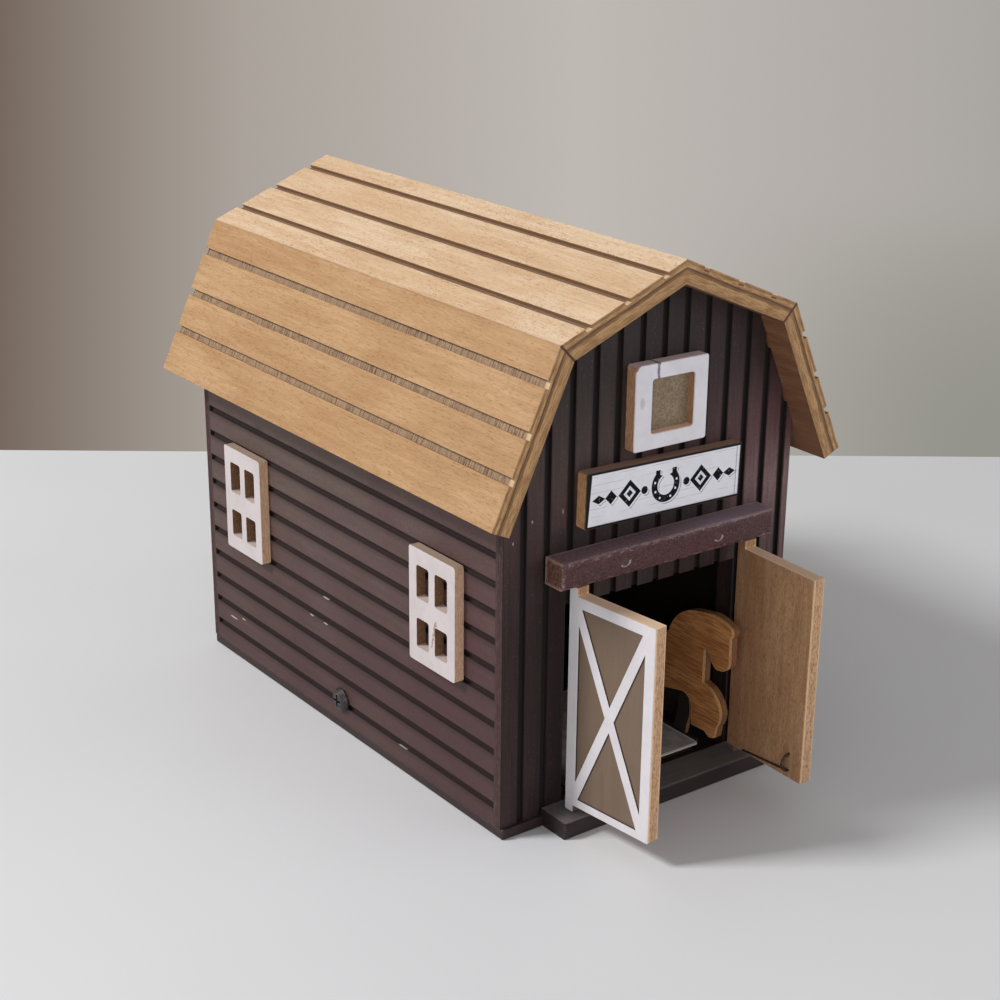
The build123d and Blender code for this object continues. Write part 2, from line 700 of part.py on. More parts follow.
with BuildPart() as side_screws:
    for side, word in SIDES:
        with BuildSketch(seen_from_side(side * BODY_WIDTH / 2)):
            with Locations((0, SCREW_Z)):
                Circle(SCREW_SHANK / 2)
        extrude(amount=-side * (SIDE_WALL + SCREW_INTO_CLEAT))
        seat = Vector(side * BODY_WIDTH / 2, SCREW_Z)
        rim = [
            seat + (side * height * SCREW_HEAD_HEIGHT, reach * SCREW_HEAD / 2)
            for reach, height in SCREW_CROWN_RATIOS
        ]
        with BuildSketch(Plane.XZ):
            with BuildLine():
                Polyline(seat, *rim, close=True)
            make_face()
        revolve(axis=Axis((0, 0, SCREW_Z), (1, 0, 0)))
        with BuildSketch(seen_from_side(side * (BODY_WIDTH / 2 + SCREW_HEAD_HEIGHT))):
            with Locations((0, SCREW_Z)):
                Rectangle(CROSS_SPAN, CROSS_WIDTH)
                Rectangle(CROSS_WIDTH, CROSS_SPAN)
        extrude(amount=-side * CROSS_DEPTH, mode=Mode.SUBTRACT)
save(side_screws, "side_screws")
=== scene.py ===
# %% [markdown]
# # Dressing a toy barn with opening doors
#
# The toy is a small plywood barn: a dark painted box under a gambrel roof of bare
# plywood, with white faced windows, a sign, two doors on pins and a plywood horse that
# slides out of the doorway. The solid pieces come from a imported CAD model, already in
# place and in metres, so this lesson is about their finishes. Each step says what the
# real piece looks like, the ways it could be made in Blender, and the way chosen here.

# %% Load the solid pieces
import math

import bmesh
import bpy
from mathutils import Matrix, Vector

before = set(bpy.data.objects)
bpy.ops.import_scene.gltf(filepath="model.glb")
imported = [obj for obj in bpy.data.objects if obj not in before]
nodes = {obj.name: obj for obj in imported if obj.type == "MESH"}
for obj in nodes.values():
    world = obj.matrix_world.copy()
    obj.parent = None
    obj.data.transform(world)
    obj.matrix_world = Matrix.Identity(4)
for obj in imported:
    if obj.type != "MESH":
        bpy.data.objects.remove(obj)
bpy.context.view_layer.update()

# %% [markdown]
# ## The camera
#
# A camera can be aimed by eye, tracked to an empty, or placed from measured angles.
# Measured angles are repeatable, so the camera's place, its two viewing angles and its
# small roll are written as numbers, and the matrix is built from them. The lens is
# long for a toy this size, and a small shift keeps the barn off the middle.

# %% The camera's place and directions
CAMERA_PLACE = Vector((-0.337324, -0.473891, 0.278789))
AROUND = math.radians(-39.7395)
ABOVE = math.radians(20.6394)
ROLL = math.radians(1.85099)

behind = Vector(
    (
        math.sin(AROUND) * math.cos(ABOVE),
        -math.cos(AROUND) * math.cos(ABOVE),
        math.sin(ABOVE),
    )
)
level = Vector((math.cos(AROUND), math.sin(AROUND), 0))
upward = behind.cross(level)
right = level * math.cos(ROLL) + upward * math.sin(ROLL)
top = upward * math.cos(ROLL) - level * math.sin(ROLL)
print("camera looks", round(math.degrees(ABOVE), 1), "degrees down, leaning by the roll")

# %% Its lens
lens = bpy.data.cameras.new("camera")
lens.sensor_width = 36
lens.lens = 68.032
lens.shift_x = -0.11452
lens.shift_y = 0.025806
lens.clip_start = 0.01
camera = bpy.data.objects.new("camera", lens)
camera.matrix_world = (
    Matrix.Translation(CAMERA_PLACE) @ Matrix((right, top, behind)).transposed().to_4x4()
)
bpy.context.scene.collection.objects.link(camera)
bpy.context.scene.camera = camera
bpy.context.scene.view_settings.view_transform = "Standard"
print("camera stands", round(CAMERA_PLACE.length, 3), "m from the barn's foot")

# %% [markdown]
# ## Colours as a painter writes them
#
# Paint colours are easiest to judge as red, green and blue from 0 to 255, while the
# shader wants linear light. One helper turns the first into the second, so every
# colour below is written in the numbers that show on the screen.


# %% A helper for colours
def paint(red, green, blue):
    """Screen colour from 0 to 255 as the linear colour that a shader takes."""
    levels = [
        c / 255 / 12.92 if c < 10 else ((c / 255 + 0.055) / 1.055) ** 2.4
        for c in (red, green, blue)
    ]
    return (*levels, 1.0)


print("mid grey is", round(paint(128, 128, 128)[0], 3), "in linear light")

# %% [markdown]
# ## Sums on sockets
#
# A finish is a sum: so much of this colour where that mask is high. Dragging nodes
# works, but a sum reads better as an expression. The small class below wraps an output
# socket and adds a Math node for each operator, with the number on either side. Every
# other kind of node comes from one method that takes its type, its settings and its
# inputs, so all finishes are made in one way.


# %% A wire that can be added, scaled and compared
class Wire:
    """An output socket with arithmetic."""

    def __init__(self, finish, socket):
        self.finish = finish
        self.socket = socket

    def sum(self, operation, *values):
        return self.finish.node(
            "ShaderNodeMath", {"operation": operation}, dict(enumerate(values))
        )

    def __add__(self, other):
        return self.sum("ADD", self, other)

    def __radd__(self, other):
        return self.sum("ADD", other, self)

    def __sub__(self, other):
        return self.sum("SUBTRACT", self, other)

    def __rsub__(self, other):
        return self.sum("SUBTRACT", other, self)

    def __mul__(self, other):
        return self.sum("MULTIPLY", self, other)

    def __rmul__(self, other):
        return self.sum("MULTIPLY", other, self)

    def __truediv__(self, other):
        return self.sum("DIVIDE", self, other)

    def __rtruediv__(self, other):
        return self.sum("DIVIDE", other, self)

    def __pow__(self, other):
        return self.sum("POWER", self, other)

    def __rpow__(self, other):
        return self.sum("POWER", other, self)

    def __mod__(self, other):
        return self.sum("FLOORED_MODULO", self, other)

    def __rmod__(self, other):
        return self.sum("FLOORED_MODULO", other, self)

    def __lt__(self, other):
        return self.sum("LESS_THAN", self, other)

    def __gt__(self, other):
        return self.sum("GREATER_THAN", self, other)

    def __abs__(self):
        return self.sum("ABSOLUTE", self)

    def sign(self):
        return self.sum("SIGN", self)

    def least(self, other):
        return self.sum("MINIMUM", self, other)

    def most(self, other):
        return self.sum("MAXIMUM", self, other)


# %% A material with its place, its facing and one method for any node
class NodeTree:
    """A material whose node tree is written as sums on wires."""

    def __init__(self, name):
        self.material = bpy.data.materials.new(name)
        self.material.use_nodes = True
        self.tree = self.material.node_tree
        self.tree.nodes.clear()
        self.shader = self.add("ShaderNodeBsdfPrincipled", {}, {})
        surface = Wire(self, self.shader.outputs["BSDF"])
        self.add("ShaderNodeOutputMaterial", {}, {"Surface": surface})
        metres = self.node("ShaderNodeTexCoord", {}, {}, "Object")
        self.facing = self.node("ShaderNodeTexCoord", {}, {}, "Normal")
        self.place = self.node(
            "ShaderNodeVectorMath",
            {"operation": "SCALE"},
            {0: metres, "Scale": 1000.0},
            "Vector",
        )
        self.x, self.y, self.z = self.split(self.place)
        self.faces_x, self.faces_y, self.faces_z = self.split(self.facing)

    def add(self, kind, settings, inputs):
        """Any node: its settings come first, then its sockets get numbers or wires."""
        made = self.tree.nodes.new(kind)
        for name, value in settings.items():
            if name == "stops":
                while len(made.color_ramp.elements) < len(value):
                    made.color_ramp.elements.new(0.5)
                for stop, (place, colour) in zip(made.color_ramp.elements, value):
                    stop.position = place
                    stop.color = colour
            else:
                setattr(made, name, value)
        self.feed(made, inputs)
        return made

    def feed(self, node, inputs):
        for name, value in inputs.items():
            if isinstance(value, Wire):
                self.tree.links.new(value.socket, node.inputs[name])
            else:
                node.inputs[name].default_value = value

    def node(self, kind, settings, inputs, output=0):
        """A node as the wire that leaves one of its outputs."""
        return Wire(self, self.add(kind, settings, inputs).outputs[output])

    def split(self, vector):
        parts = self.node("ShaderNodeSeparateXYZ", {}, {"Vector": vector})
        return [Wire(self, s) for s in parts.socket.node.outputs]

    def join(self, x, y, z):
        return self.node("ShaderNodeCombineXYZ", {}, {0: x, 1: y, 2: z})

    def report(self, step):
        print(self.material.name, "has", len(self.tree.nodes), "nodes after", step)


# %% [markdown]
# Three kinds of node do nearly all the work. Noise gives anything that varies, and its
# place is first counted in cells of a chosen size, so that one noise serves for fibres
# as well as for clouds. A smooth fade turns a number into a mask, and a mix lays one
# colour over another by that mask. The Bevel node adds a mask for sharp edges.


# %% Noise, masks and mixes
class Patterns(NodeTree):
    """The few patterns that every finish here is made of."""

    def cells(self, x, y, z, vector=None):
        """The place counted in cells of this size, so that one noise has any grain."""
        return self.node(
            "ShaderNodeVectorMath",
            {"operation": "DIVIDE"},
            {0: vector or self.place, 1: (x, y, z)},
            "Vector",
        )

    def noise(self, place, detail=2.0, roughness=0.5, distortion=0.0):
        return self.node(
            "ShaderNodeTexNoise",
            {},
            {
                "Vector": place,
                "Scale": 1.0,
                "Detail": detail,
                "Roughness": roughness,
                "Distortion": distortion,
            },
        )

    def fade(self, value, start, end):
        """0 at start and 1 at end, smooth between, in either direction."""
        return self.node(
            "ShaderNodeMapRange",
            {"interpolation_type": "SMOOTHSTEP"},
            {"Value": value, "From Min": start, "From Max": end},
        )

    def mix(self, share, first, second, blend="MIX"):
        """Colours only: first at share 0 and second at share 1."""
        return self.node(
            "ShaderNodeMix",
            {"data_type": "RGBA", "blend_type": blend},
            {0: share, 6: first, 7: second},
            2,
        )

    def wash(self, colour, *washes):
        """Multiplies the colour by each tint where its mask is high."""
        for mask, tint in washes:
            colour = self.mix(mask, colour, (*tint, 1), "MULTIPLY")
        return colour

    def edges(self, radius):
        """1 on an outer or inner edge rounded to that many millimetres."""
        soft = self.node(
            "ShaderNodeBevel", {"samples": 6}, {"Radius": radius / 1000}, "Normal"
        )
        flat = self.node("ShaderNodeNewGeometry", {}, {}, "Normal")
        agreement = self.node(
            "ShaderNodeVectorMath", {"operation": "DOT_PRODUCT"}, {0: soft, 1: flat}, "Value"
        )
        return self.fade(agreement, 0.995, 0.8)


# %% [markdown]
# A finish ends the same way each time: a colour, a roughness and a height go into one
# Principled shader, and the material goes on the pieces it is meant for. The height
# runs through a Bump node, since brush marks and pores are too fine to model.


# %% A finish, ready to cover pieces
class Finish(Patterns):
    """Patterns with an end: the shader's inputs and the pieces it covers."""

    def dress(self, colour, rough, height, depth=0.1, strength=0.6):
        """Feeds the shader: height is in units of depth, which is in millimetres."""
        bump = self.node(
            "ShaderNodeBump",
            {},
            {"Height": height, "Distance": depth / 1000, "Strength": strength},
            "Normal",
        )
        self.feed(self.shader, {"Base Color": colour, "Roughness": rough, "Normal": bump})

    def cover(self, *names):
        for name in names:
            slots = nodes[name].data.materials
            slots.clear()
            slots.append(self.material)
            for face in nodes[name].data.polygons:
                face.material_index = 0
        print(self.material.name, "covers", len(names), "with", len(self.tree.nodes), "nodes")


# %% [markdown]
# ## Wood grain along any direction
#
# Wood is the main finish here, so its parts are worked out once. Long fibres are noise
# in cells much longer along the grain than across, broad streaks are the same noise at
# a larger size, and pores are the brightest dots of another noise in short dashes. An
# image texture would be quicker, but noise needs no image and follows every face.


# %% Fibres, streaks and pores
def wood_grain(finish, along, fibre=0.22, length=9.0, place=None):
    """Masks from 0 to 1 for wood whose grain runs along x, y or z."""

    def stretched(across, run):
        sizes = [across, across, across]
        sizes["xyz".index(along)] = run
        return finish.cells(*sizes, vector=place)

    fibres = finish.noise(stretched(fibre, length), detail=3.0, roughness=0.6)
    streaks = finish.noise(stretched(fibre * 7, length * 4), detail=2.0, distortion=0.4)
    bands = finish.noise(stretched(fibre * 26, length * 9), detail=1.0, distortion=0.8)
    dots = finish.noise(stretched(fibre * 1.3, length * 0.16), detail=1.0)
    return {
        "fibres": finish.fade(fibres, 0.32, 0.68),
        "streaks": finish.fade(streaks, 0.35, 0.65),
        "bands": finish.fade(bands, 0.35, 0.65),
        "pores": finish.fade(dots, 0.66, 0.74),
    }


# %% [markdown]
# ## The painted walls
#
# Walls, base, threshold and lintel wear one coat of thin maroon brown paint over
# plywood. Hands and light have turned it grey in some places, and it is still red in
# others, so a redness from 0 to 1 mixes two colours of the same paint. It has a faint
# brushed grain, and a fine mottle of lighter and darker dots where it has worn.


# %% Worn maroon paint
GREY_MAROON = paint(92, 74, 68)
RED_MAROON = paint(80, 50, 52)
GROOVE_SHADE_AND_DUST = paint(30, 18, 17)
BARE_SCRATCH = paint(186, 164, 150)


def maroon_paint(finish, along, redness):
    """Colour, roughness and height of the paint with its brush marks along one axis."""
    grain = wood_grain(finish, along, fibre=0.3, length=14.0)
    clouds = finish.noise(finish.cells(38, 38, 38), detail=3.0)
    mottle = finish.noise(finish.cells(0.8, 0.8, 0.8), detail=4.0, roughness=0.8)
    red = finish.fade(redness + (clouds - 0.5) * 1.4, 0.0, 1.0)
    colour = finish.mix(red, GREY_MAROON, RED_MAROON)
    brushed = grain["fibres"] * 0.3 + grain["streaks"] * 0.35
    colour = finish.wash(colour, (brushed, (0.74, 0.71, 0.71)))
    light = finish.wash(colour, (1.0, (1.55, 1.5, 1.48)))
    colour = finish.mix(finish.fade(mottle, 0.5, 0.72) * 0.8, colour, light)
    dark = finish.wash(colour, (1.0, (0.66, 0.62, 0.62)))
    colour = finish.mix(finish.fade(mottle, 0.5, 0.28) * 0.8, colour, dark)
    rough = 0.52 + mottle * 0.22
    height = grain["fibres"] * 0.45 + mottle * 0.55
    return colour, rough, height


# %% [markdown]
# ## Scuffs and planks
#
# The few pale scuffs have known places. Each is a squashed circle with a ragged edge,
# which is easier to put where it belongs than a noise. Places are in millimetres, first
# along the barn or across it, then up.


# %% Scuffs at given places
def scuffs(finish, first, second, places):
    """Pale ragged marks: each has two coordinates, a half length and a half height."""
    rag = finish.noise(finish.cells(0.9, 0.9, 0.4), detail=4.0, roughness=0.8)
    most = 0.0
    for at_first, at_second, half_length, half_height in places:
        away = abs((first - at_first) / half_length) ** 2.0
        up = abs((second - at_second) / half_height) ** 2.0
        mark = finish.fade(away + up + rag * 2.4, 2.3, 1.7)
        most = mark.most(most)
    return most


# %% [markdown]
# The planks are cut grooves. Paint and dust gather in them, and they are painted almost
# black, which is also painted shade, as is a dark band on the paint beside them. The
# grooves are already in the solids: the depth below the wall's outer face finds them,
# and it stops well short of the inner face, which is painted near black as painted shade.


# %% Planks as depth and as distance from a groove
BELOW_WALL_GROOVES = 1.9


def from_groove(place, first, pitch):
    """Signed distance from the middle of the nearest groove."""
    return ((place - first + pitch / 2) % pitch) - pitch / 2


def planks(finish, face, outward, colour, beside, groove_shade_share=0.94):
    """Painted shade and dust in the grooves cut into a wall, and painted shade beside them."""
    sunk = face - abs(outward)
    in_groove = finish.fade(sunk, 0.1, 0.7) * finish.fade(sunk, 2.4, BELOW_WALL_GROOVES)
    inner_face_shade = finish.fade(sunk, 2.0, 2.6) * finish.fade(sunk, 60.0, 50.0)
    colour = finish.mix(beside, colour, GROOVE_SHADE_AND_DUST)
    colour = finish.mix(in_groove * groove_shade_share, colour, GROOVE_SHADE_AND_DUST)
    return colour, in_groove, inner_face_shade


print("with grooves every 8 mm, 10 lies", from_groove(10, 0, 8), "mm past the nearest")


# %% What is known of the side walls
WALL_FACE = 54.0
SIDE_GROOVE_FIRST, SIDE_GROOVE_PITCH = 9.65, 8.62
KNOT_Y, KNOT_Z = 49.0, 88.4
SIDE_SCUFFS = (
    (9.0, 43.1, 2.0, 0.3),
    (18.1, 34.0, 1.3, 0.25),
    (9.5, 34.0, 1.4, 0.25),
    (-8.5, 26.4, 6.8, 0.26),
    (-15.6, 17.6, 3.2, 0.34),
    (-34.8, 8.6, 2.6, 0.13),
    (71.5, 14.2, 2.6, 0.3),
    (64.3, 16.0, 1.4, 0.22),
)
print(len(SIDE_SCUFFS), "scuffs and a knot on each side wall")

# %% The side walls, with grooves along the barn
side_paint = Finish("side_wall_paint")
redness = side_paint.fade(side_paint.z, 105.0, 12.0) * 0.55
redness = redness + side_paint.fade(side_paint.y, 70.0, -75.0) * 0.35
colour, rough, height = maroon_paint(side_paint, "y", redness)
low = side_paint.fade(side_paint.z, 75.0, 20.0)
colour = side_paint.wash(colour, (low, (0.84, 0.77, 0.77)))
knot_y, knot_z = side_paint.y - KNOT_Y, side_paint.z - KNOT_Z
knot = side_paint.fade((knot_y * knot_y * 0.25 + knot_z * knot_z) ** 0.5, 2.2, 0.6)
colour = side_paint.mix(knot * 0.5, colour, paint(52, 40, 38))
# Painted shadow below each groove's upper lip, fading down the plank, and painted shade darkest
# at the top of the groove.
above = from_groove(side_paint.z, SIDE_GROOVE_FIRST, SIDE_GROOVE_PITCH)
shaded = side_paint.fade(above, -3.3, -1.0) * (above < 0.0) * 0.55
shaded = shaded.most(side_paint.fade(abs(above), 1.7, 1.0) * 0.35)
groove_shade_share = side_paint.fade(above, -1.2, 0.4) * 0.6 + 0.36
colour, in_groove, inner_face_shade = planks(
    side_paint, WALL_FACE, side_paint.x, colour, shaded, groove_shade_share
)
dust = side_paint.noise(side_paint.cells(0.6, 1.8, 0.5), detail=3.0, roughness=0.75)
dust_low = side_paint.fade(dust, 0.66, 0.74) * side_paint.fade(side_paint.z, 46.0, 8.0)
colour = side_paint.mix(dust_low * 0.35, colour, BARE_SCRATCH)
pale = scuffs(side_paint, side_paint.y, side_paint.z, SIDE_SCUFFS) * (1 - in_groove)
colour = side_paint.mix(pale * 0.9, colour, paint(196, 182, 174))
# The inner face is painted near black as painted shade.
colour = side_paint.mix(inner_face_shade, colour, paint(46, 34, 30))
side_paint.dress(colour, rough + in_groove * 0.2, height, depth=0.12)
side_paint.cover("left_wall", "right_wall")

# %% [markdown]
# ## The gable
#
# The gable's planks are narrower and darker than the side's. Away from the window light
# the paint is a dull grey, and towards the other corner it turns maroon and is painted
# lighter there, as painted light from the front. Its cut ends make the narrow strip at
# each corner of the barn, so a mask tells that strip from the face.

# %% The gable's paint, from grey on the left to maroon on the right
GABLE_FACE = 85.75
GABLE_EDGE = 53.2
GABLE_GROOVE_FIRST, GABLE_GROOVE_PITCH = 1.65, 8.1
GABLE_SCUFFS = ((-44.0, 96.0, 0.3, 0.5), (-33.4, 97.0, 0.2, 0.9), (-50.5, 91.0, 0.25, 0.5))
gable = Finish("gable_wall_paint")
redness = gable.fade(gable.x, -20.0, 20.0) * 1.3
redness = redness.most(gable.fade(gable.z, 112.0, 86.0) * 0.75)
colour, rough, height = maroon_paint(gable, "z", redness)
on_face = gable.fade(abs(gable.faces_x), 0.75, 0.55)
on_face = on_face.most(gable.fade(abs(gable.x), GABLE_EDGE, GABLE_EDGE - 0.6))
dull = gable.fade(gable.x, 20.0, -30.0)
# Painted light: the face is darkened less towards the right, where the front light falls.
lit_towards_right = gable.fade(gable.x, -2.0, 40.0) * 0.5
colour = gable.wash(
    colour,
    (on_face * (1 - lit_towards_right), (0.58, 0.54, 0.56)),
    (dull * on_face * 0.6, (0.76, 0.80, 0.80)),
)
gable.report("grey and maroon")

# %% [markdown]
# High under the roof the gable is painted nearly black, as painted shade under the eaves.
# Towards the right corner and low on the right its planks are painted pale, as a painted
# pool of the front light, and on the left at mid height they are a little lighter. Each
# of these is a broad fade across the wall and up it, and the paint is washed with a tint
# there: a tint above 1 lightens, and one below 1 darkens.

# %% Painted shade and light on the gable
high = gable.fade(gable.z, 112.0, 138.0) * on_face
towards_right = gable.fade(gable.x, 8.0, 52.0)
lit_right_corner = towards_right * gable.fade(gable.z, 134.0, 98.0) * on_face
lit_low_right = gable.fade(gable.x, 22.0, 46.0) * gable.fade(gable.z, 110.0, 90.0)
paler_left = gable.fade(gable.x, 8.0, -20.0) * gable.fade(gable.z, 125.0, 100.0)
colour = gable.wash(
    colour,
    (high, (0.44, 0.44, 0.40)),
    (lit_right_corner, (2.3, 2.5, 2.5)),
    (lit_low_right * on_face, (1.8, 2.6, 2.4)),
    (paler_left * on_face, (1.32, 1.18, 1.18)),
)
gable.report("wear")

# %% Painted shadow under the sign, low down and beside the left door
# The dark above the lintel, low down and beside the left door is painted shade and shadow.
beyond = abs(gable.x + 5.0)
shadow_under_sign = gable.fade(beyond, 38.0, 26.0) * gable.fade(gable.z, 93.5, 89.5)
shadow_under_sign = shadow_under_sign * gable.fade(gable.z, 74.0, 78.0) * on_face
low_shade = gable.fade(gable.z, 92.0, 70.0) * on_face
left_door_shadow = gable.fade(gable.x, -50.0, -34.0) * gable.fade(gable.x, -20.0, -30.0)
colour = gable.wash(
    colour,
    (shadow_under_sign, (0.36, 0.36, 0.38)),
    (low_shade, (0.62, 0.56, 0.55)),
    (left_door_shadow * low_shade * 0.8, (0.45, 0.42, 0.42)),
)
specks = gable.noise(gable.cells(0.45, 0.45, 0.7), detail=2.0, roughness=0.7)
specks = gable.fade(specks, 0.62, 0.74) * on_face
colour = gable.mix(specks * 0.45, colour, paint(124, 96, 88))
end_paint = gable.wash(colour, (1.0, (0.58, 0.50, 0.48)))
gable.report("dirt")

# %% [markdown]
# Beside each groove the paint gets a soft, slightly ragged border of painted shade, and
# thin dark drips run down the planks. The grooves come next, then the strip of cut ends
# with its rubbed spots, and last the scuffs and the inside of the wall, painted dark as
# painted shade.

# %% Grooves, drips and rubbed ends
across_groove = abs(from_groove(gable.x, GABLE_GROOVE_FIRST, GABLE_GROOVE_PITCH))
soft = gable.noise(gable.cells(1.0, 1.0, 5.0), detail=3.0, roughness=0.7)
shaded = gable.fade(across_groove + (soft - 0.5) * 0.9, 1.75, 1.25) * (0.85 - low_shade * 0.35)
drips = gable.noise(gable.cells(1.3, 1.3, 26.0), detail=3.0, roughness=0.7)
drips = gable.fade(drips, 0.42, 0.62) * on_face * (0.25 + low_shade * 0.35)
colour = gable.mix(drips, colour, paint(26, 15, 13))
colour, in_groove, inner_face_shade = planks(gable, GABLE_FACE, gable.y, colour, shaded)
colour = gable.mix(on_face, end_paint, colour)
rub = gable.noise(gable.cells(0.7, 0.7, 2.4), detail=4.0, roughness=0.75)
rubbed_end = (1 - on_face) * gable.fade(rub, 0.52, 0.68)
colour = gable.mix(rubbed_end * 0.5, colour, paint(112, 86, 80))
pale = scuffs(gable, gable.x, gable.z, GABLE_SCUFFS)
colour = gable.mix(pale * on_face * 0.8, colour, BARE_SCRATCH)
colour = gable.mix(inner_face_shade * on_face, colour, paint(40, 30, 27))
gable.dress(colour, rough + in_groove * 0.2, height, depth=0.12)
gable.cover("front_wall", "back_wall")

# %% [markdown]
# ## Base, threshold and lintel
#
# The base, the threshold and the lintel are boxes whose edges are handled most, so the
# paint has worn thin there. The Bevel node finds sharp edges, but misses those that are
# already rounded. A point near an edge of a box is close to two of its faces at once,
# so the sum of its two smallest distances is small there. Noise added to that sum
# breaks the line up so that it isn't an even border.


# %% Worn edges of a box
def edge_distance(finish, name):
    """Sum of the two smallest distances from the faces of a piece's box, in millimetres."""
    gaps = []
    for axis, place in enumerate((finish.x, finish.y, finish.z)):
        spread = [corner[axis] * 1000 for corner in nodes[name].bound_box]
        middle, half = (min(spread) + max(spread)) / 2, (max(spread) - min(spread)) / 2
        gaps.append(half - abs(place - middle))
    print(name, "is measured face to face for its edges")
    x, y, z = gaps
    return x + y + z - x.most(y).most(z)


# %% Base and threshold
def trim_finish(name, piece, tone, dust, wear):
    """Maroon paint in a darker tone, with dust on top and this much wear on the edges."""
    trim = Finish(name)
    colour, rough, height = maroon_paint(trim, "x", 0.7)
    near = edge_distance(trim, piece)
    patchy = trim.noise(trim.cells(2.6, 2.0, 0.7), detail=4.0, roughness=0.8)
    rubbed = trim.fade(near + patchy * 3.4, 2.2, 1.6)
    dusty = trim.fade(trim.faces_z, 0.4, 0.95)
    colour = trim.wash(colour, (1.0, tone))
    scratches = trim.noise(trim.cells(9.0, 0.4, 0.4), detail=3.0, roughness=0.7)
    grey = trim.wash(dust, (trim.fade(scratches, 0.35, 0.7), (0.72, 0.72, 0.74)))
    colour = trim.mix(dusty * 0.9, colour, grey)
    colour = trim.mix(rubbed * wear, colour, paint(128, 104, 98))
    trim.dress(colour, rough - rubbed * 0.12, height, depth=0.14)
    trim.cover(piece)


trim_finish("base_paint", "base_panel", (0.34, 0.30, 0.30), paint(52, 44, 44), 0.1)
trim_finish("threshold_paint", "threshold", (0.22, 0.19, 0.19), paint(116, 111, 114), 0.25)

# %% [markdown]
# The lintel is a square bar, redder in front and greyed by dust on top. It is covered
# in fine pale specks, its long edges are rubbed through in dashes, and its end grain
# shows brown. Each brad went in a little aslant and left a bright crescent in the paint.

# %% The lintel's front and its dusty top
lintel = Finish("lintel_paint")
colour, rough, height = maroon_paint(lintel, "x", 1.2)
colour = lintel.wash(colour, (1.0, (1.16, 0.98, 1.0)))
specks = lintel.noise(lintel.cells(0.42, 0.42, 0.42), detail=2.0, roughness=0.8)
pits = lintel.noise(lintel.cells(1.1, 0.8, 0.8), detail=3.0, roughness=0.8)
patchy = lintel.noise(lintel.cells(2.4, 0.7, 0.7), detail=4.0, roughness=0.85)
dusty = lintel.fade(lintel.faces_z, 0.45, 0.95)
colour = lintel.mix(lintel.fade(pits, 0.46, 0.62) * 0.7, colour, paint(46, 28, 29))
pitted = lintel.fade(pits, 0.35, 0.65)
top_dust = lintel.mix(pitted, paint(142, 118, 128), paint(108, 86, 94))
colour = lintel.mix(dusty * 0.9, colour, top_dust)
thick_dust = dusty * lintel.fade(lintel.x, -6.0, 24.0)
colour = lintel.mix(thick_dust * 0.6, colour, paint(158, 144, 158))
lintel.report("dust")

# %% The lintel's end grain, specks and rubbed edges
end_wood = lintel.fade(abs(lintel.faces_x), 0.5, 0.9)
end_grain = lintel.noise(lintel.cells(1, 0.7, 1.3), detail=4.0, roughness=0.75)
end_grain = lintel.fade(end_grain, 0.40, 0.58)
brown_end = lintel.mix(end_grain, paint(58, 32, 28), paint(134, 92, 68))
bare_end = end_wood * lintel.fade(patchy, 0.32, 0.5)
colour = lintel.mix(bare_end * 0.8, colour, brown_end)
colour = lintel.mix(lintel.fade(specks, 0.56, 0.66) * 0.6, colour, paint(140, 98, 98))
near = edge_distance(lintel, "lintel")
rubbed = lintel.fade(near + patchy * 4.4, 3.1, 2.6)
colour = lintel.mix(rubbed * 0.65, colour, paint(176, 146, 138))
lintel.report("rubbed edges")

# %% The crescents beside the brads
LINTEL_BRADS = (-16.9, 18.5)
BRAD_HEIGHT = 80.7
CRESCENT_RADIUS = 1.3
crescent = 0.0
for brad_x in LINTEL_BRADS:
    across = lintel.x - brad_x
    high = lintel.z - BRAD_HEIGHT
    away = (across * across * 0.7 + high * high * 1.3) ** 0.5
    ring = abs(away - CRESCENT_RADIUS + (patchy - 0.5) * 0.8)
    mark = lintel.fade(ring, 0.5, 0.2) * lintel.fade(high - across * 0.35, 0.1, -0.5)
    mark = mark * lintel.fade(specks, 0.34, 0.46)
    crescent = mark.most(crescent)
crescent = crescent * lintel.fade(lintel.faces_y, -0.6, -0.9)
colour = lintel.mix(crescent * 0.75, colour, paint(196, 176, 172))
lintel.dress(colour, rough - rubbed * 0.12, height, depth=0.16)
lintel.cover("lintel")

# %% [markdown]
# ## The plywood roof
#
# The roof boards are bare plywood, pale on top, with fine grain that runs along the
# barn and scattered brown pores. A groove shows what is under the face sheet: on the
# lower boards the inner sheet's grain runs across, so the floor of each groove is a row
# of short dark strokes. The sawn ends show the sheets edge on, with a dark glue line
# between them. All of it comes from one number, the depth below the board's outer face,
# so the ridge, the knuckle and the eave are written down first.


# %% Depth below a sloping face
RIDGE_HEIGHT = 166.1
KNUCKLE_OUT, KNUCKLE_HEIGHT = 43.1, 148.2
EAVE_OUT, EAVE_HEIGHT = 64.9, 100.3
BELOW_ROOF_GROOVES = 2.1


def below_slope(finish, start, end):
    """Depth in millimetres below a slope, place along it, and how a face tilts to it."""
    run, fall = end[0] - start[0], start[1] - end[1]
    long = math.hypot(run, fall)
    out, up = fall / long, run / long
    side = finish.x.sign()
    reach = start[0] * out + start[1] * up
    depth = reach - (abs(finish.x) * out + finish.z * up)
    down = (abs(finish.x) - start[0]) * up - (finish.z - start[1]) * out
    tilt = finish.faces_x * side * out + finish.faces_z * up
    return depth, down, tilt


upper_fall = math.degrees(math.atan2(RIDGE_HEIGHT - KNUCKLE_HEIGHT, KNUCKLE_OUT))
lower_fall = math.degrees(math.atan2(KNUCKLE_HEIGHT - EAVE_HEIGHT, EAVE_OUT - KNUCKLE_OUT))
print("the roof falls at", round(upper_fall), "and then at", round(lower_fall), "degrees")


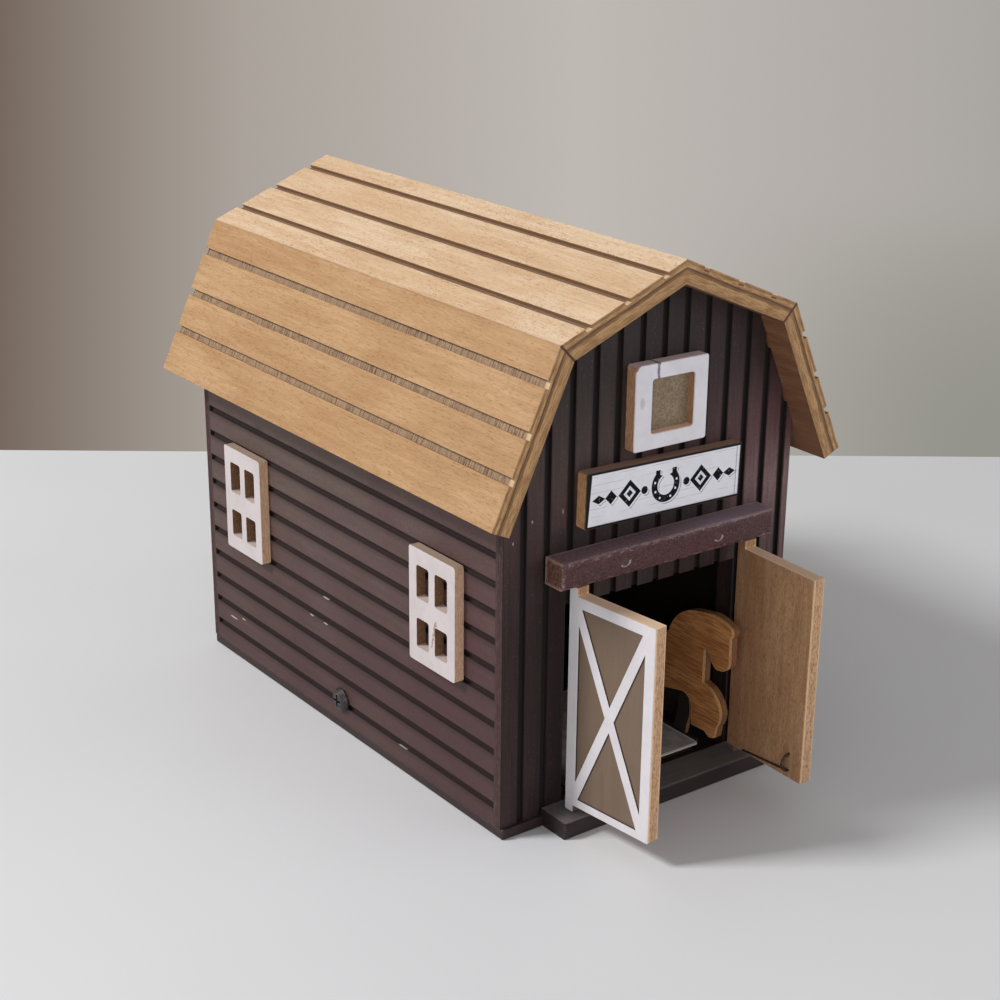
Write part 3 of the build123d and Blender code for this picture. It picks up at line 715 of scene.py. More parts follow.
# %% The face of a roof board, with its flecks and pores
def roof_face(wood, pale, warm, dark, pores):
    """Drifts from pale to warm, washed dark along the grain, with this many pores."""
    grain = wood_grain(wood, "y", fibre=0.24, length=7.0)
    drift = wood.noise(wood.cells(14, 52, 14), detail=2.0, distortion=0.6)
    colour = wood.mix(wood.fade(drift, 0.35, 0.65), pale, warm)
    fibrous = grain["fibres"] * 0.46 + grain["streaks"] * 0.36
    colour = wood.wash(colour, (fibrous, dark))
    flecks = wood.noise(wood.cells(0.42, 2.4, 0.42), detail=2.0, roughness=0.6)
    colour = wood.wash(colour, (wood.fade(flecks, 0.55, 0.66) * 0.75, dark))
    dots = wood.noise(wood.cells(0.5, 0.8, 0.5), detail=2.0, roughness=0.6)
    where = wood.noise(wood.cells(9, 26, 9), detail=2.0)
    dots = wood.fade(dots, 0.60, 0.68) * wood.fade(where, 0.36, 0.58)
    colour = wood.mix(dots * pores, colour, paint(150, 98, 58))
    blots = wood.noise(wood.cells(1.1, 2.4, 1.1), detail=2.0, roughness=0.6)
    blots = wood.fade(blots, 0.62, 0.72) * wood.fade(where, 0.40, 0.60)
    colour = wood.mix(blots * pores, colour, paint(180, 124, 76))
    height = grain["fibres"] * 0.5 + (1 - dots) * 0.4
    return colour, height, grain


# %% [markdown]
# The sawn ends are the richest part of the roof, because the sheets show there. Streaks
# follow the slope, so the noise is laid out in depth and distance down the slope
# instead of the room's axes. A wandering offset keeps the glue line from being ruled.


# %% The sawn ends and the underside
GLUE_DEPTH, HAIRLINE_DEPTH, VENEER_DEPTH = 2.6, 2.3, 0.6


def roof_end(wood, depth, down):
    """Plywood edge on: streaks down the slope, and dark glue between two thick sheets."""
    on_end = wood.join(depth, down, wood.y)
    streaks = wood.noise(wood.cells(0.55, 5.0, 3.0, on_end), detail=4.0, roughness=0.7)
    flecks = wood.noise(wood.cells(0.3, 1.3, 1.0, on_end), detail=2.0)
    wander = wood.noise(wood.cells(2.0, 14.0, 3.0, on_end), detail=4.0, roughness=0.6) - 0.5
    sheets = wood.mix(wood.fade(streaks, 0.34, 0.66), paint(156, 112, 66), paint(206, 164, 112))
    glue = wood.fade(abs(depth - GLUE_DEPTH + wander * 1.2), 0.95, 0.3)
    sheets = wood.mix(glue * 0.7, sheets, paint(104, 64, 34))
    hairline = wood.fade(abs(depth - HAIRLINE_DEPTH + wander * 0.9), 0.26, 0.1)
    sheets = wood.mix(hairline * 0.7, sheets, paint(70, 40, 22))
    veneer = wood.fade(abs(depth - VENEER_DEPTH), 0.42, 0.15)
    sheets = wood.mix(veneer * 0.45, sheets, paint(112, 72, 40))
    inside = wood.fade(depth, 4.6, 5.6)
    sheets = wood.mix(inside * 0.35, sheets, paint(130, 90, 54))
    return wood.mix(wood.fade(flecks, 0.56, 0.70) * 0.45, sheets, paint(112, 74, 42))


def roof_underside(wood, grain):
    """Painted shade: darker wood on the underside, out of the light."""
    streak = grain["fibres"] * 0.35 + grain["streaks"] * 0.4
    return wood.mix(streak, paint(152, 108, 78), paint(114, 78, 54))


# %% Where a groove, its walls and the mitre lie
MITRE_OUT, MITRE_UP = 0.714, 0.70


def groove_floor(wood, floor):
    """Short dark strokes across the board on a floor partly darkened as painted shade, and a
    painted pool of light at its open front end.
    """
    strokes = wood.noise(wood.cells(6, 0.34, 6), detail=3.0, roughness=0.75)
    cloud = wood.noise(wood.cells(8, 14, 8), detail=1.0)
    bottom = wood.mix(wood.fade(strokes, 0.38, 0.56), floor[0], floor[1])
    bottom = wood.mix(wood.fade(cloud, 0.4, 0.7) * 0.4, bottom, floor[2])
    # Painted light where the groove opens at the front end.
    lit_open_end = wood.fade(wood.y, -93.2, -94.6)
    return wood.mix(lit_open_end * 0.8, bottom, paint(226, 196, 156)), strokes


def knuckle_line(wood, sawn):
    """The dark mitre between an upper and a lower board."""
    past_x, past_z = abs(wood.x) - KNUCKLE_OUT, wood.z - KNUCKLE_HEIGHT
    off_mitre = abs(past_x * MITRE_OUT - past_z * MITRE_UP)
    return wood.fade(off_mitre, 0.55, 0.2) * (sawn * 0.8 + 0.15)


# %% Both slopes from one recipe
def roof_finish(name, start, end, face, floor, pores):
    """Bare plywood: the face, the groove floors, the sawn ends and the underside."""
    wood = Finish(name)
    depth, down, tilt = below_slope(wood, start, end)
    colour, height, grain = roof_face(wood, *face, pores)
    bottom, strokes = groove_floor(wood, floor)
    # Groove floors and walls are painted darker, partly as painted shade inside the grooves.
    above_floor = wood.fade(depth, 2.6, BELOW_ROOF_GROOVES)
    in_groove = wood.fade(depth, 0.45, 1.0) * above_floor * wood.fade(tilt, 0.3, 0.7)
    colour = wood.mix(in_groove, colour, bottom)
    sawn = wood.fade(abs(wood.faces_y), 0.5, 0.9)
    walls = wood.fade(depth, 0.05, 0.3) * above_floor
    walls = walls * wood.fade(abs(tilt), 0.5, 0.2) * (1 - sawn)
    colour = wood.mix(walls * 0.9, colour, paint(128, 90, 60))
    # Painted shade on the underside.
    under = wood.fade(tilt, -0.3, -0.7)
    colour = wood.mix(under, colour, roof_underside(wood, grain))
    colour = wood.mix(sawn, colour, roof_end(wood, depth, down))
    colour = wood.mix(knuckle_line(wood, sawn), colour, paint(78, 36, 22))
    rough = 0.62 - grain["streaks"] * 0.12 + in_groove * 0.2
    wood.dress(colour, rough, height + in_groove * strokes, depth=0.12)
    return wood


# %% [markdown]
# The upper boards catch the window light and are painted pale, partly as painted light,
# with many pores. The lower ones are a deeper tan, partly as painted shade, and their
# groove floors show light and dark strokes side by side.

# %% Upper and lower roof boards
roof_finish(
    "upper_roof_plywood",
    (0, RIDGE_HEIGHT),
    (KNUCKLE_OUT, KNUCKLE_HEIGHT),
    (paint(229, 206, 177), paint(220, 190, 156), (0.82, 0.69, 0.56)),
    (paint(120, 94, 70), paint(134, 106, 82), paint(112, 86, 62)),
    0.6,
).cover("left_upper_roof", "right_upper_roof")
roof_finish(
    "lower_roof_plywood",
    (KNUCKLE_OUT, KNUCKLE_HEIGHT),
    (EAVE_OUT, EAVE_HEIGHT),
    (paint(192, 157, 116), paint(182, 145, 103), (0.76, 0.64, 0.50)),
    (paint(96, 74, 56), paint(172, 142, 112), paint(150, 124, 98)),
    0.22,
).cover("left_lower_roof", "right_lower_roof")

# %% [markdown]
# ## White faces on brown edges
#
# Windows, the loft frame, the sign and the doors are plywood with a white printed or
# painted face. The white stops at the edge, where the cut wood shows, so the two are
# told apart by which way the surface faces. The white has faint stains and tiny chips
# along its edges, which expose the brown wood.


# %% Cut plywood edges
def cut_edge(finish, across, dark=paint(136, 96, 66), light=paint(196, 154, 112)):
    """Edge of a thin sheet: streaks in layers that follow the sheet."""
    sizes = [2.4, 2.4, 2.4]
    sizes["xyz".index(across)] = 0.35
    layers = finish.noise(finish.cells(*sizes), detail=3.0, roughness=0.65)
    fine = finish.noise(finish.cells(0.5, 0.5, 0.5), detail=2.0)
    colour = finish.mix(finish.fade(layers, 0.3, 0.7), dark, light)
    return finish.mix(finish.fade(fine, 0.6, 0.72) * 0.4, colour, paint(104, 70, 48))


def white_face(finish, chips, pale=paint(236, 234, 241), stained=paint(226, 224, 231)):
    """The printed white, with grey stains and small chips along its edges."""
    stain = finish.noise(finish.cells(9, 9, 9), detail=3.0, roughness=0.6)
    fine = finish.noise(finish.cells(0.7, 0.7, 0.7), detail=3.0, roughness=0.6)
    colour = finish.mix(finish.fade(stain, 0.35, 0.7), pale, stained)
    colour = finish.wash(colour, (finish.fade(fine, 0.58, 0.75) * 0.2, (0.7, 0.7, 0.72)))
    bite = finish.noise(finish.cells(1.4, 1.4, 1.4), detail=3.0, roughness=0.7)
    chip = finish.edges(0.5) * finish.fade(bite, 0.66 - chips * 0.1, 0.70 - chips * 0.1)
    return finish.mix(chip, colour, paint(150, 112, 82)), chip, fine


# %% [markdown]
# A side window is one sheet with four panes cut through it. Through a pane the wall
# shows dark, the upright sides of the cut are brown, and its sill is pale with dust and
# with painted light. The outer edge is pinkish tan, greyer on top where dust lies. One
# window has a torn bar, where a ragged brown line runs down the white.

# %% The four side windows
WINDOW_Y, WINDOW_Z = 55.6, 61.3
PANES_HALF_WIDE, PANES_HALF_HIGH = 10.4, 16.0
TEAR_Y, TEAR_Z = -56.6, 55.0
window_wood = Finish("window_wood")
white, chip, fine = white_face(window_wood, 0.25, paint(206, 197, 198), paint(197, 188, 189))
outward = window_wood.fade(abs(window_wood.faces_x), 0.55, 0.8)
edge = cut_edge(window_wood, "x", paint(206, 160, 128), paint(238, 200, 168))
off_middle = abs(abs(window_wood.y) - WINDOW_Y)
off_height = abs(window_wood.z - WINDOW_Z)
in_pane = window_wood.fade(off_middle, PANES_HALF_WIDE + 0.5, PANES_HALF_WIDE)
in_pane = in_pane * window_wood.fade(off_height, PANES_HALF_HIGH + 0.6, PANES_HALF_HIGH)
torn_y, torn_z = window_wood.y - TEAR_Y, window_wood.z - TEAR_Z
torn = abs(torn_y + torn_z * 0.25 + (fine - 0.5) * 3.0)
torn = window_wood.fade(torn, 0.55, 0.25) * window_wood.fade(abs(torn_z), 4.8, 4.0)
torn = torn * outward * (window_wood.x < 0.0)
window_wood.report("the white, the panes and the torn bar")

# %% Colour the windows
jamb = window_wood.fade(fine, 0.35, 0.7)
jamb = window_wood.mix(jamb, paint(140, 104, 76), paint(112, 80, 56))
edge = window_wood.mix(in_pane, edge, jamb)
facing_up = window_wood.fade(window_wood.faces_z, 0.5, 0.9)
# The sill in a pane is pale from dust and from painted light.
edge = window_wood.mix(facing_up * in_pane * 0.85, edge, paint(214, 202, 196))
edge = window_wood.mix(facing_up * (1 - in_pane) * 0.8, edge, paint(150, 136, 124))
colour = window_wood.mix(outward, edge, white)
colour = window_wood.mix(torn * 0.8, colour, paint(140, 98, 72))
window_wood.dress(colour, 0.62 - outward * 0.1, fine * 0.6 + (1 - chip) * 0.4, depth=0.1)
window_wood.cover(
    "left_front_window", "left_rear_window", "right_front_window", "right_rear_window"
)

# %% [markdown]
# ## The loft window
#
# A thicker frame with one square hole sits high on the gable. Its face is a cooler
# white, a crack runs from the top edge to the hole, two corners are chipped, and a grey
# stain lies left of the hole. Behind the hole is a speckled board.

# %% Crack, stain, chip and hole of the loft window
LOFT_X, LOFT_Z = 2.4, 123.4
LOFT_HALF_WIDE, LOFT_HALF_HIGH = 7.8, 8.0
FRAME_LEFT, FRAME_TOP = -11.75, 136.0
STAIN_X, STAIN_Z = -9.0, 125.0
loft_wood = Finish("loft_window_wood")
white, chip, fine = white_face(loft_wood, 0.35)
outward = loft_wood.fade(loft_wood.faces_y, -0.55, -0.8)
wander = loft_wood.noise(loft_wood.cells(2, 2, 1.6), detail=2.0) * 1.8 - 0.9
crack_line = loft_wood.x - (LOFT_X - LOFT_HALF_WIDE + 1.9) + wander
crack = loft_wood.fade(abs(crack_line), 0.6, 0.25) * (loft_wood.z > LOFT_Z + LOFT_HALF_HIGH)
stain_x, stain_z = loft_wood.x - STAIN_X, loft_wood.z - STAIN_Z
stain = loft_wood.fade((stain_x * stain_x + stain_z * stain_z * 0.3) ** 0.5, 1.3, 0.4)
corner_away = (loft_wood.x - FRAME_LEFT) + (FRAME_TOP - loft_wood.z)
chipped = loft_wood.fade(corner_away + fine * 2.0, 3.0, 2.4)
in_hole = loft_wood.fade(abs(loft_wood.x - LOFT_X), LOFT_HALF_WIDE + 0.5, LOFT_HALF_WIDE + 0.2)
in_hole = in_hole * loft_wood.fade(
    abs(loft_wood.z - LOFT_Z), LOFT_HALF_HIGH + 0.5, LOFT_HALF_HIGH + 0.2
)
loft_wood.report("crack, stain, chip and hole")

# %% Colour the loft frame
edge = cut_edge(loft_wood, "y", paint(168, 124, 92), paint(222, 176, 138))
edge = loft_wood.mix(in_hole * 0.5, edge, paint(136, 98, 74))
facing_up = loft_wood.fade(loft_wood.faces_z, 0.5, 0.9)
edge = loft_wood.mix(facing_up * (1 - in_hole) * 0.9, edge, paint(236, 214, 216))
edge = loft_wood.mix(facing_up * in_hole * 0.9, edge, paint(246, 206, 178))
face = loft_wood.mix(stain * 0.35, white, paint(132, 132, 142))
face = loft_wood.mix(chipped * 0.9, face, paint(122, 84, 60))
colour = loft_wood.mix(outward, edge, face)
colour = loft_wood.mix(crack * 0.8, colour, paint(96, 84, 86))
loft_wood.dress(colour, 0.6, fine * 0.5 + (1 - chip) * 0.3 - crack, depth=0.12)
loft_wood.cover("loft_window_frame")

# %% The board behind the hole
backing = Finish("loft_backing_board")
speck = backing.noise(backing.cells(0.5, 0.5, 0.5), detail=4.0, roughness=0.75)
cloud = backing.noise(backing.cells(5, 5, 5), detail=2.0)
colour = backing.mix(backing.fade(speck, 0.35, 0.65), paint(124, 106, 84), paint(162, 144, 120))
colour = backing.mix(backing.fade(cloud, 0.4, 0.7) * 0.3, colour, paint(112, 94, 72))
backing.dress(colour, 0.8, speck, depth=0.1)
backing.cover("loft_window_backing")

# %% [markdown]
# ## The sign
#
# The sign is a white board with a dark line along its edge and faint plank lines. Its
# print here is a plain horseshoe between diamonds, a common stable ornament, drawn with
# distances: a ring is the distance to a circle, a diamond the sum of two distances.
# A second copy moved a little down and right leaves the thin shadow line that sign
# painters put beside a heavy shape.


# %% A horseshoe as distances
NAIL_HOLES = ((4.05, 1.4), (3.75, -1.4), (2.0, -3.5))
NAIL_HOLE_RADIUS = 0.36


def horseshoe(across, up, radius, weight):
    """Distance into a horseshoe open at the top: positive is inside."""
    ring = (across * across + (up - 0.3) * (up - 0.3)) ** 0.5
    shoe = weight - abs(ring - radius)
    gap = abs(across) * 0.45 - up + 2.6
    shoe = shoe.least(gap.most(abs(across) - 2.6))
    heels = 0.85 - abs(abs(across) - 3.1).most(abs(up - 4.1) - 0.1)
    shoe = shoe.most(heels)
    side = abs(across)
    for hole_x, hole_z in NAIL_HOLES:
        away = ((side - hole_x) * (side - hole_x) + (up - hole_z) * (up - hole_z)) ** 0.5
        shoe = shoe.least(away - NAIL_HOLE_RADIUS)
    return shoe


# %% The whole row
DIAMOND_X, BEAD_X, SMALL_X, LEAF_X = 13.4, 7.9, 20.2, 24.6


def ornament(across, up):
    """Distance into the whole printed row: positive is inside."""
    side = abs(across)
    spread = abs(side - DIAMOND_X) * 0.85 + abs(up) * 0.85
    diamond = (3.5 - spread).least((spread - 1.9).most(1.0 - spread))
    bead = 1.2 - ((side - BEAD_X) * (side - BEAD_X) + up * up) ** 0.5
    small = 2.1 - abs(side - SMALL_X) - abs(up)
    leaf = 1.3 - abs(side - LEAF_X) * 0.55 - abs(up)
    row = diamond.most(bead).most(small).most(leaf)
    return horseshoe(across, up, 4.2, 1.1).most(row)


# %% Print the ornament and its thin shadow
SIGN_X, SIGN_Z, SIGN_LEAN = 0.8, 98.95, math.radians(1.2)
sign = Finish("sign_print")
shift_x = sign.x - SIGN_X
shift_z = sign.z - SIGN_Z
along_sign = shift_x * math.cos(SIGN_LEAN) - shift_z * math.sin(SIGN_LEAN)
up_sign = shift_x * math.sin(SIGN_LEAN) + shift_z * math.cos(SIGN_LEAN)
body = ornament(along_sign, up_sign)
shadow = ornament(along_sign - 0.6, up_sign + 0.55)
ink_wear = sign.noise(sign.cells(0.8, 0.8, 0.8), detail=3.0, roughness=0.7)
ink = sign.fade(body, -0.06, 0.08)
thin = sign.fade(shadow, -0.1, 0.05) * sign.fade(shadow, 0.30, 0.14)
thin = thin * (1 - sign.fade(body, -0.4, -0.25))
sign.report("ornament and shadow")

# %% [markdown]
# The board under the print is white with a dark line along its rim, wider at the left,
# where the board was set a little askew. Broken hairlines across it stand for planks,
# and a second upright line closes the right end. Then the layers are laid in the order
# that a sign painter lays them: board, lines, shadow, ink.

# %% The sign's white board, edge line and plank lines
SIGN_HALF_LONG, SIGN_HALF_HIGH = 29.3, 8.35
SIGN_PLANK = 2.35
white, chip, fine = white_face(sign, 0.45, paint(244, 244, 252), paint(236, 236, 244))
from_end = SIGN_HALF_LONG - abs(along_sign)
from_rim = SIGN_HALF_HIGH - abs(up_sign)
at_left = sign.fade(along_sign, -20.0, -27.0)
left_rim = from_end - at_left * (0.75 + up_sign * 0.06)
edge_line = sign.fade(left_rim.least(from_rim), 0.95, 0.7)
second_line = sign.fade(abs(from_end - 2.0), 0.22, 0.1) * (along_sign > 0.0)
plank = abs(((up_sign + 8.4) % SIGN_PLANK) - 1.2)
broken = sign.fade(sign.noise(sign.cells(8, 8, 0.9), detail=2.0), 0.44, 0.56)
lines = sign.fade(plank, 0.11, 0.03) * broken
sign.report("board and lines")

# %% Lay the sign's colours
outward = sign.fade(sign.faces_y, -0.55, -0.8)
printed = sign.mix(lines * 0.5, white, paint(140, 138, 142))
printed = sign.mix(second_line * 0.6, printed, paint(120, 116, 120))
printed = sign.mix(thin * 0.75, printed, paint(74, 74, 80))
printed = sign.mix(ink * sign.fade(ink_wear, 0.78, 0.6), printed, paint(10, 11, 16))
printed = sign.mix(edge_line, printed, paint(12, 8, 7))
edge = cut_edge(sign, "y", paint(124, 92, 72), paint(170, 132, 102))
# Painted light: the end facing left is a paler wood, as the light falls on it.
lit_left_end = sign.fade(sign.faces_x, -0.4, -0.8)
lit_end_wood = cut_edge(sign, "y", paint(176, 126, 84), paint(228, 180, 134))
edge = sign.mix(lit_left_end, edge, lit_end_wood)
facing_up = sign.fade(sign.faces_z, 0.5, 0.9)
edge = sign.mix(facing_up * 0.8, edge, paint(158, 132, 120))
dry = sign.mix(outward, edge, printed)
sign.dress(dry, 0.6 + ink * 0.3, fine * 0.6 + (1 - chip) * 0.4, depth=0.08)
sign.feed(sign.shader, {"Specular IOR Level": 0.25})
sign.cover("sign_board")

# %% [markdown]
# ## The doors
#
# Outside, a door has a white frame and a white X over a brown ground, with a thin dark
# outline where they meet, which is painted shade at the foot of the step. The solid has
# the ground cut slightly deeper, so the depth below the door's outer face tells white
# from ground. Inside, the door is plain brown plywood with upright streaks and painted
# shade towards the hinge, and its edges are lighter, with painted light where they face up.
# Each door stands open at its own angle, so the depth is measured along the door's own
# thickness, and the distance from the hinge along its width.

# %% The doors' own directions
HINGE_Y = -91.5
DOOR_HALF = 2.15
DOOR_MIDDLE_Z = 41.05
DOOR_LEFT = (-31.4, -1, math.radians(84.0))
DOOR_RIGHT = (32.7, 1, math.radians(88.3))


def door_sense(wood, hinge_x, side, swing):
    """Depth towards the outer face, place along the width, and facing outwards."""
    thick = (math.sin(swing) * side, -math.cos(swing))
    wide = (-math.cos(swing) * side, -math.sin(swing))
    from_x = wood.x - hinge_x
    from_y = wood.y - HINGE_Y
    outwards = from_x * thick[0] + from_y * thick[1]
    along = from_x * wide[0] + from_y * wide[1]
    faces_out = wood.faces_x * thick[0] + wood.faces_y * thick[1]
    return outwards, along, faces_out


for hinge_x, side, swing in (DOOR_LEFT, DOOR_RIGHT):
    print("door hinged at", hinge_x, "mm is open", round(math.degrees(swing), 1), "degrees")


# %% The painted outside of a door
def door_outside(wood, outwards, panel, upright, plain):
    """White frame and X, and brown ground where the panel is sunk."""
    sunk = wood.fade(outwards, DOOR_HALF - 0.1, DOOR_HALF - 0.25) * panel
    ground = wood.mix(wood.fade(plain, 0.3, 0.7), paint(122, 103, 86), paint(116, 97, 80))
    ground = wood.mix(upright["fibres"] * 0.16, ground, paint(98, 80, 64))
    ground = wood.mix(upright["pores"] * 0.25, ground, paint(88, 70, 54))
    # Painted shade at the foot of the step: the thin dark outline.
    corner = wood.edges(0.7) * sunk
    ground = wood.mix(wood.fade(corner, 0.05, 0.5) * 0.9, ground, paint(46, 38, 34))
    white = white_face(wood, 0.1, paint(224, 220, 224), paint(217, 213, 217))[0]
    return wood.mix(sunk, white, ground)


# %% The bare inside of a door and its edges
def door_inside(wood, along, upright, plain):
    """Plain plywood with fine flecks, and painted shade near the hinge."""
    colour = wood.mix(wood.fade(plain, 0.3, 0.7), paint(218, 174, 132), paint(202, 154, 114))
    streaks = upright["streaks"] * 0.3 + upright["fibres"] * 0.35
    colour = wood.mix(streaks, colour, paint(154, 114, 76))
    colour = wood.mix(upright["pores"] * 0.7, colour, paint(110, 74, 46))
    flecks = wood.noise(wood.cells(0.55, 0.55, 1.5), detail=3.0, roughness=0.75)
    colour = wood.mix(wood.fade(flecks, 0.52, 0.66) * 0.55, colour, paint(140, 92, 60))
    colour = wood.mix(wood.fade(flecks, 0.44, 0.32) * 0.35, colour, paint(240, 204, 166))
    # Painted shade towards the hinge.
    return wood.mix(wood.fade(along, 24.0, 2.0) * 0.4, colour, paint(120, 82, 58))


def door_edge(wood, outwards):
    """Sawn edge with pale rims, and painted light where it faces up."""
    grain = wood.noise(wood.cells(0.4, 0.4, 4.0), detail=3.0, roughness=0.65)
    colour = wood.mix(wood.fade(grain, 0.3, 0.7), paint(192, 148, 108), paint(218, 178, 140))
    specks = wood.noise(wood.cells(0.42, 0.42, 1.4), detail=2.0, roughness=0.7)
    colour = wood.mix(wood.fade(specks, 0.50, 0.62) * 0.7, colour, paint(138, 94, 60))
    rim = wood.fade(abs(outwards), DOOR_HALF - 0.85, DOOR_HALF - 0.45)
    colour = wood.mix(rim * 0.6, colour, paint(246, 212, 174))
    # Painted light on the top edge.
    facing_up = wood.fade(wood.faces_z, 0.5, 0.9)
    return wood.mix(facing_up * 0.7, colour, paint(238, 208, 182))


# %% [markdown]
# A door's finish picks one of these three by the way the surface faces. The step walls
# of the sunk ground are painted dark as painted shade, which draws the thin outline, and
# the tabs above and below the door, where the pins go in, are darker wood.


# %% One finish for each door
def door_finish(name, piece, hinge_x, side, swing):
    """Outside, inside and edges of one door, in its own directions."""
    wood = Finish(name)
    outwards, along, faces_out = door_sense(wood, hinge_x, side, swing)
    upright = wood_grain(wood, "z", fibre=0.26, length=5.0)
    plain = wood.noise(wood.cells(7, 7, 30), detail=2.0, distortion=0.5)
    panel = wood.fade(along, 1.5, 2.0) * wood.fade(along, 30.0, 29.5)
    off_middle = abs(wood.z - DOOR_MIDDLE_Z)
    panel = panel * wood.fade(off_middle, 31.6, 31.1)
    outside = door_outside(wood, outwards, panel, upright, plain)
    inside = door_inside(wood, along, upright, plain)
    inside = wood.mix(wood.edges(0.45) * 0.5, inside, paint(222, 196, 164))
    edge = door_edge(wood, outwards)
    outer = wood.fade(faces_out, 0.6, 0.85)
    inner = wood.fade(faces_out, -0.6, -0.85)
    # The step walls get painted shade.
    rebate_shade = wood.fade(outwards, DOOR_HALF - 0.5, DOOR_HALF - 0.35) * panel
    edge = wood.mix(rebate_shade, edge, paint(52, 42, 36))
    colour = wood.mix(outer, wood.mix(inner, edge, inside), outside)
    tab = wood.fade(along, 3.2, 2.6) * wood.fade(off_middle, 33.0, 33.6)
    colour = wood.mix(tab * (1 - outer) * 0.5, colour, paint(150, 106, 68))
    low_tab = tab * (1 - outer) * wood.fade(wood.z, 12.0, 10.0)
    colour = wood.mix(low_tab * 0.85, colour, paint(92, 82, 78))
    height = upright["fibres"] * 0.6 + (1 - upright["pores"]) * 0.4
    wood.dress(colour, 0.62 - outer * 0.08, height, depth=0.1)
    wood.cover(piece)


door_finish("left_door_wood", "left_door", *DOOR_LEFT)
door_finish("right_door_wood", "right_door", *DOOR_RIGHT)

# %% [markdown]
# ## The horse
#
# The horse is sawn from stained plywood: orange brown, with dark wavy grain that runs
# along its body. Its sawn edge shows the sheets: pale next to the near face, then a
# dark glue line, then brown. Which sheet a point lies in is its distance across. The
# grain bends, because a slow noise lifts the place before the fine noise reads it, and
# the near face has a painted highlight along its rounded edge.

# %% Stained horse
HORSE_NEAR = 23.0
HORSE_GLUE = HORSE_NEAR + 1.2
horse = Finish("horse_stained_plywood")
grain = wood_grain(horse, "y", fibre=0.3, length=4.5)
bend = horse.noise(horse.cells(24, 24, 24), detail=1.0) * 3.0
level = horse.join(horse.x, horse.y, horse.z + bend)
wavy = horse.noise(horse.cells(3, 7.0, 0.34, level), detail=4.0, distortion=0.4)
broad = horse.noise(horse.cells(5, 16, 4, level), detail=2.0)
colour = horse.mix(horse.fade(broad, 0.35, 0.65), paint(240, 172, 108), paint(214, 146, 88))
colour = horse.mix(horse.fade(wavy, 0.44, 0.62) * 0.6, colour, paint(130, 76, 40))
colour = horse.mix(grain["fibres"] * 0.25, colour, paint(138, 84, 46))
colour = horse.mix(grain["pores"] * 0.5, colour, paint(64, 36, 20))
horse.report("stain and grain")

# %% The horse's sawn edge and its light rim
flat_side = horse.fade(abs(horse.faces_x), 0.75, 0.95)
saw = horse.noise(horse.cells(0.3, 1.2, 1.2), detail=3.0, roughness=0.7)
saw = horse.fade(saw, 0.3, 0.7)
pale_sheet = horse.mix(saw, paint(186, 136, 88), paint(222, 178, 128))
brown_sheet = horse.mix(saw, paint(122, 82, 54), paint(164, 118, 80))
layer = horse.fade(horse.x, HORSE_GLUE - 0.1, HORSE_GLUE + 0.1)
edge = horse.mix(layer, pale_sheet, brown_sheet)
glue = horse.fade(abs(horse.x - HORSE_GLUE), 0.3, 0.08)
edge = horse.mix(glue * 0.6, edge, paint(84, 52, 34))
colour = horse.mix(flat_side, edge, colour)
# Painted highlight along the rounded edge.
lit_rim = horse.edges(0.5) * flat_side * (horse.x < HORSE_NEAR + 0.5)
colour = horse.mix(lit_rim * 0.85, colour, paint(248, 200, 148))
horse.dress(colour, 0.5, grain["fibres"] * 0.6 + wavy * 0.4, depth=0.1)
horse.cover("horse")

# %% [markdown]
# The far leg is a second layer glued behind. It keeps to the shade of the doorway, so
# its flat side is painted almost black as painted shade, and only its sawn edge shows as wood.

# %% The far leg, with painted shade on its flat side
leg_wood = Finish("far_leg_plywood")
stain = leg_wood.noise(leg_wood.cells(2, 3, 6), detail=3.0, roughness=0.6)
fine = leg_wood.noise(leg_wood.cells(0.4, 1.6, 1.6), detail=3.0, roughness=0.7)
# The flat side is painted near black as painted shade.
shaded_flat_side = leg_wood.fade(stain, 0.35, 0.65)
shaded_flat_side = leg_wood.mix(shaded_flat_side, paint(52, 42, 36), paint(40, 34, 32))
sawn_edge = leg_wood.fade(fine, 0.3, 0.7)
sawn_edge = leg_wood.mix(sawn_edge, paint(150, 106, 70), paint(192, 148, 106))
flat_side = leg_wood.fade(abs(leg_wood.faces_x), 0.75, 0.95)
leg_wood.dress(leg_wood.mix(flat_side, sawn_edge, shaded_flat_side), 0.65, fine, depth=0.1)
leg_wood.cover("horse_far_leg")

# %% [markdown]
# ## Inside the doorway
#
# The posts took the same dark paint as the walls. The rails, cleats and the slide board
# are unpainted wood out of the light, dark with dust and with painted shade. The slide
# carries a white plastic sheet that has gone grey on top, with a painted highlight along
# its cut edge, apart from the far end beside the left post, which the light never reaches
# and which is painted dark as painted shade.

# %% The door posts
post_paint = Finish("post_paint")
colour, rough, height = maroon_paint(post_paint, "z", 0.4)
colour = post_paint.wash(colour, (1.0, (0.34, 0.32, 0.33)))
rub = post_paint.noise(post_paint.cells(0.6, 0.6, 5), detail=3.0, roughness=0.7)
rubbed = post_paint.edges(0.5) * post_paint.fade(rub, 0.45, 0.6)
colour = post_paint.mix(rubbed * 0.4, colour, paint(104, 88, 84))
post_paint.dress(colour, rough, height, depth=0.12)
post_paint.cover("left_door_post", "right_door_post")

# %% Rails, cleats and slide board
slide_wood = Finish("slide_wood")
grain = wood_grain(slide_wood, "y", fibre=0.3, length=9.0)
# Dark from dust and from painted shade.
colour = slide_wood.mix(grain["fibres"] * 0.5, paint(74, 60, 48), paint(52, 40, 32))
colour = slide_wood.mix(grain["pores"] * 0.5, colour, paint(34, 26, 20))
slide_wood.dress(colour, 0.75, grain["fibres"], depth=0.1)
slide_wood.cover(
    "slide_board",
    "left_guide_rail",
    "right_guide_rail",
    "left_floor_cleat",
    "right_floor_cleat",
)

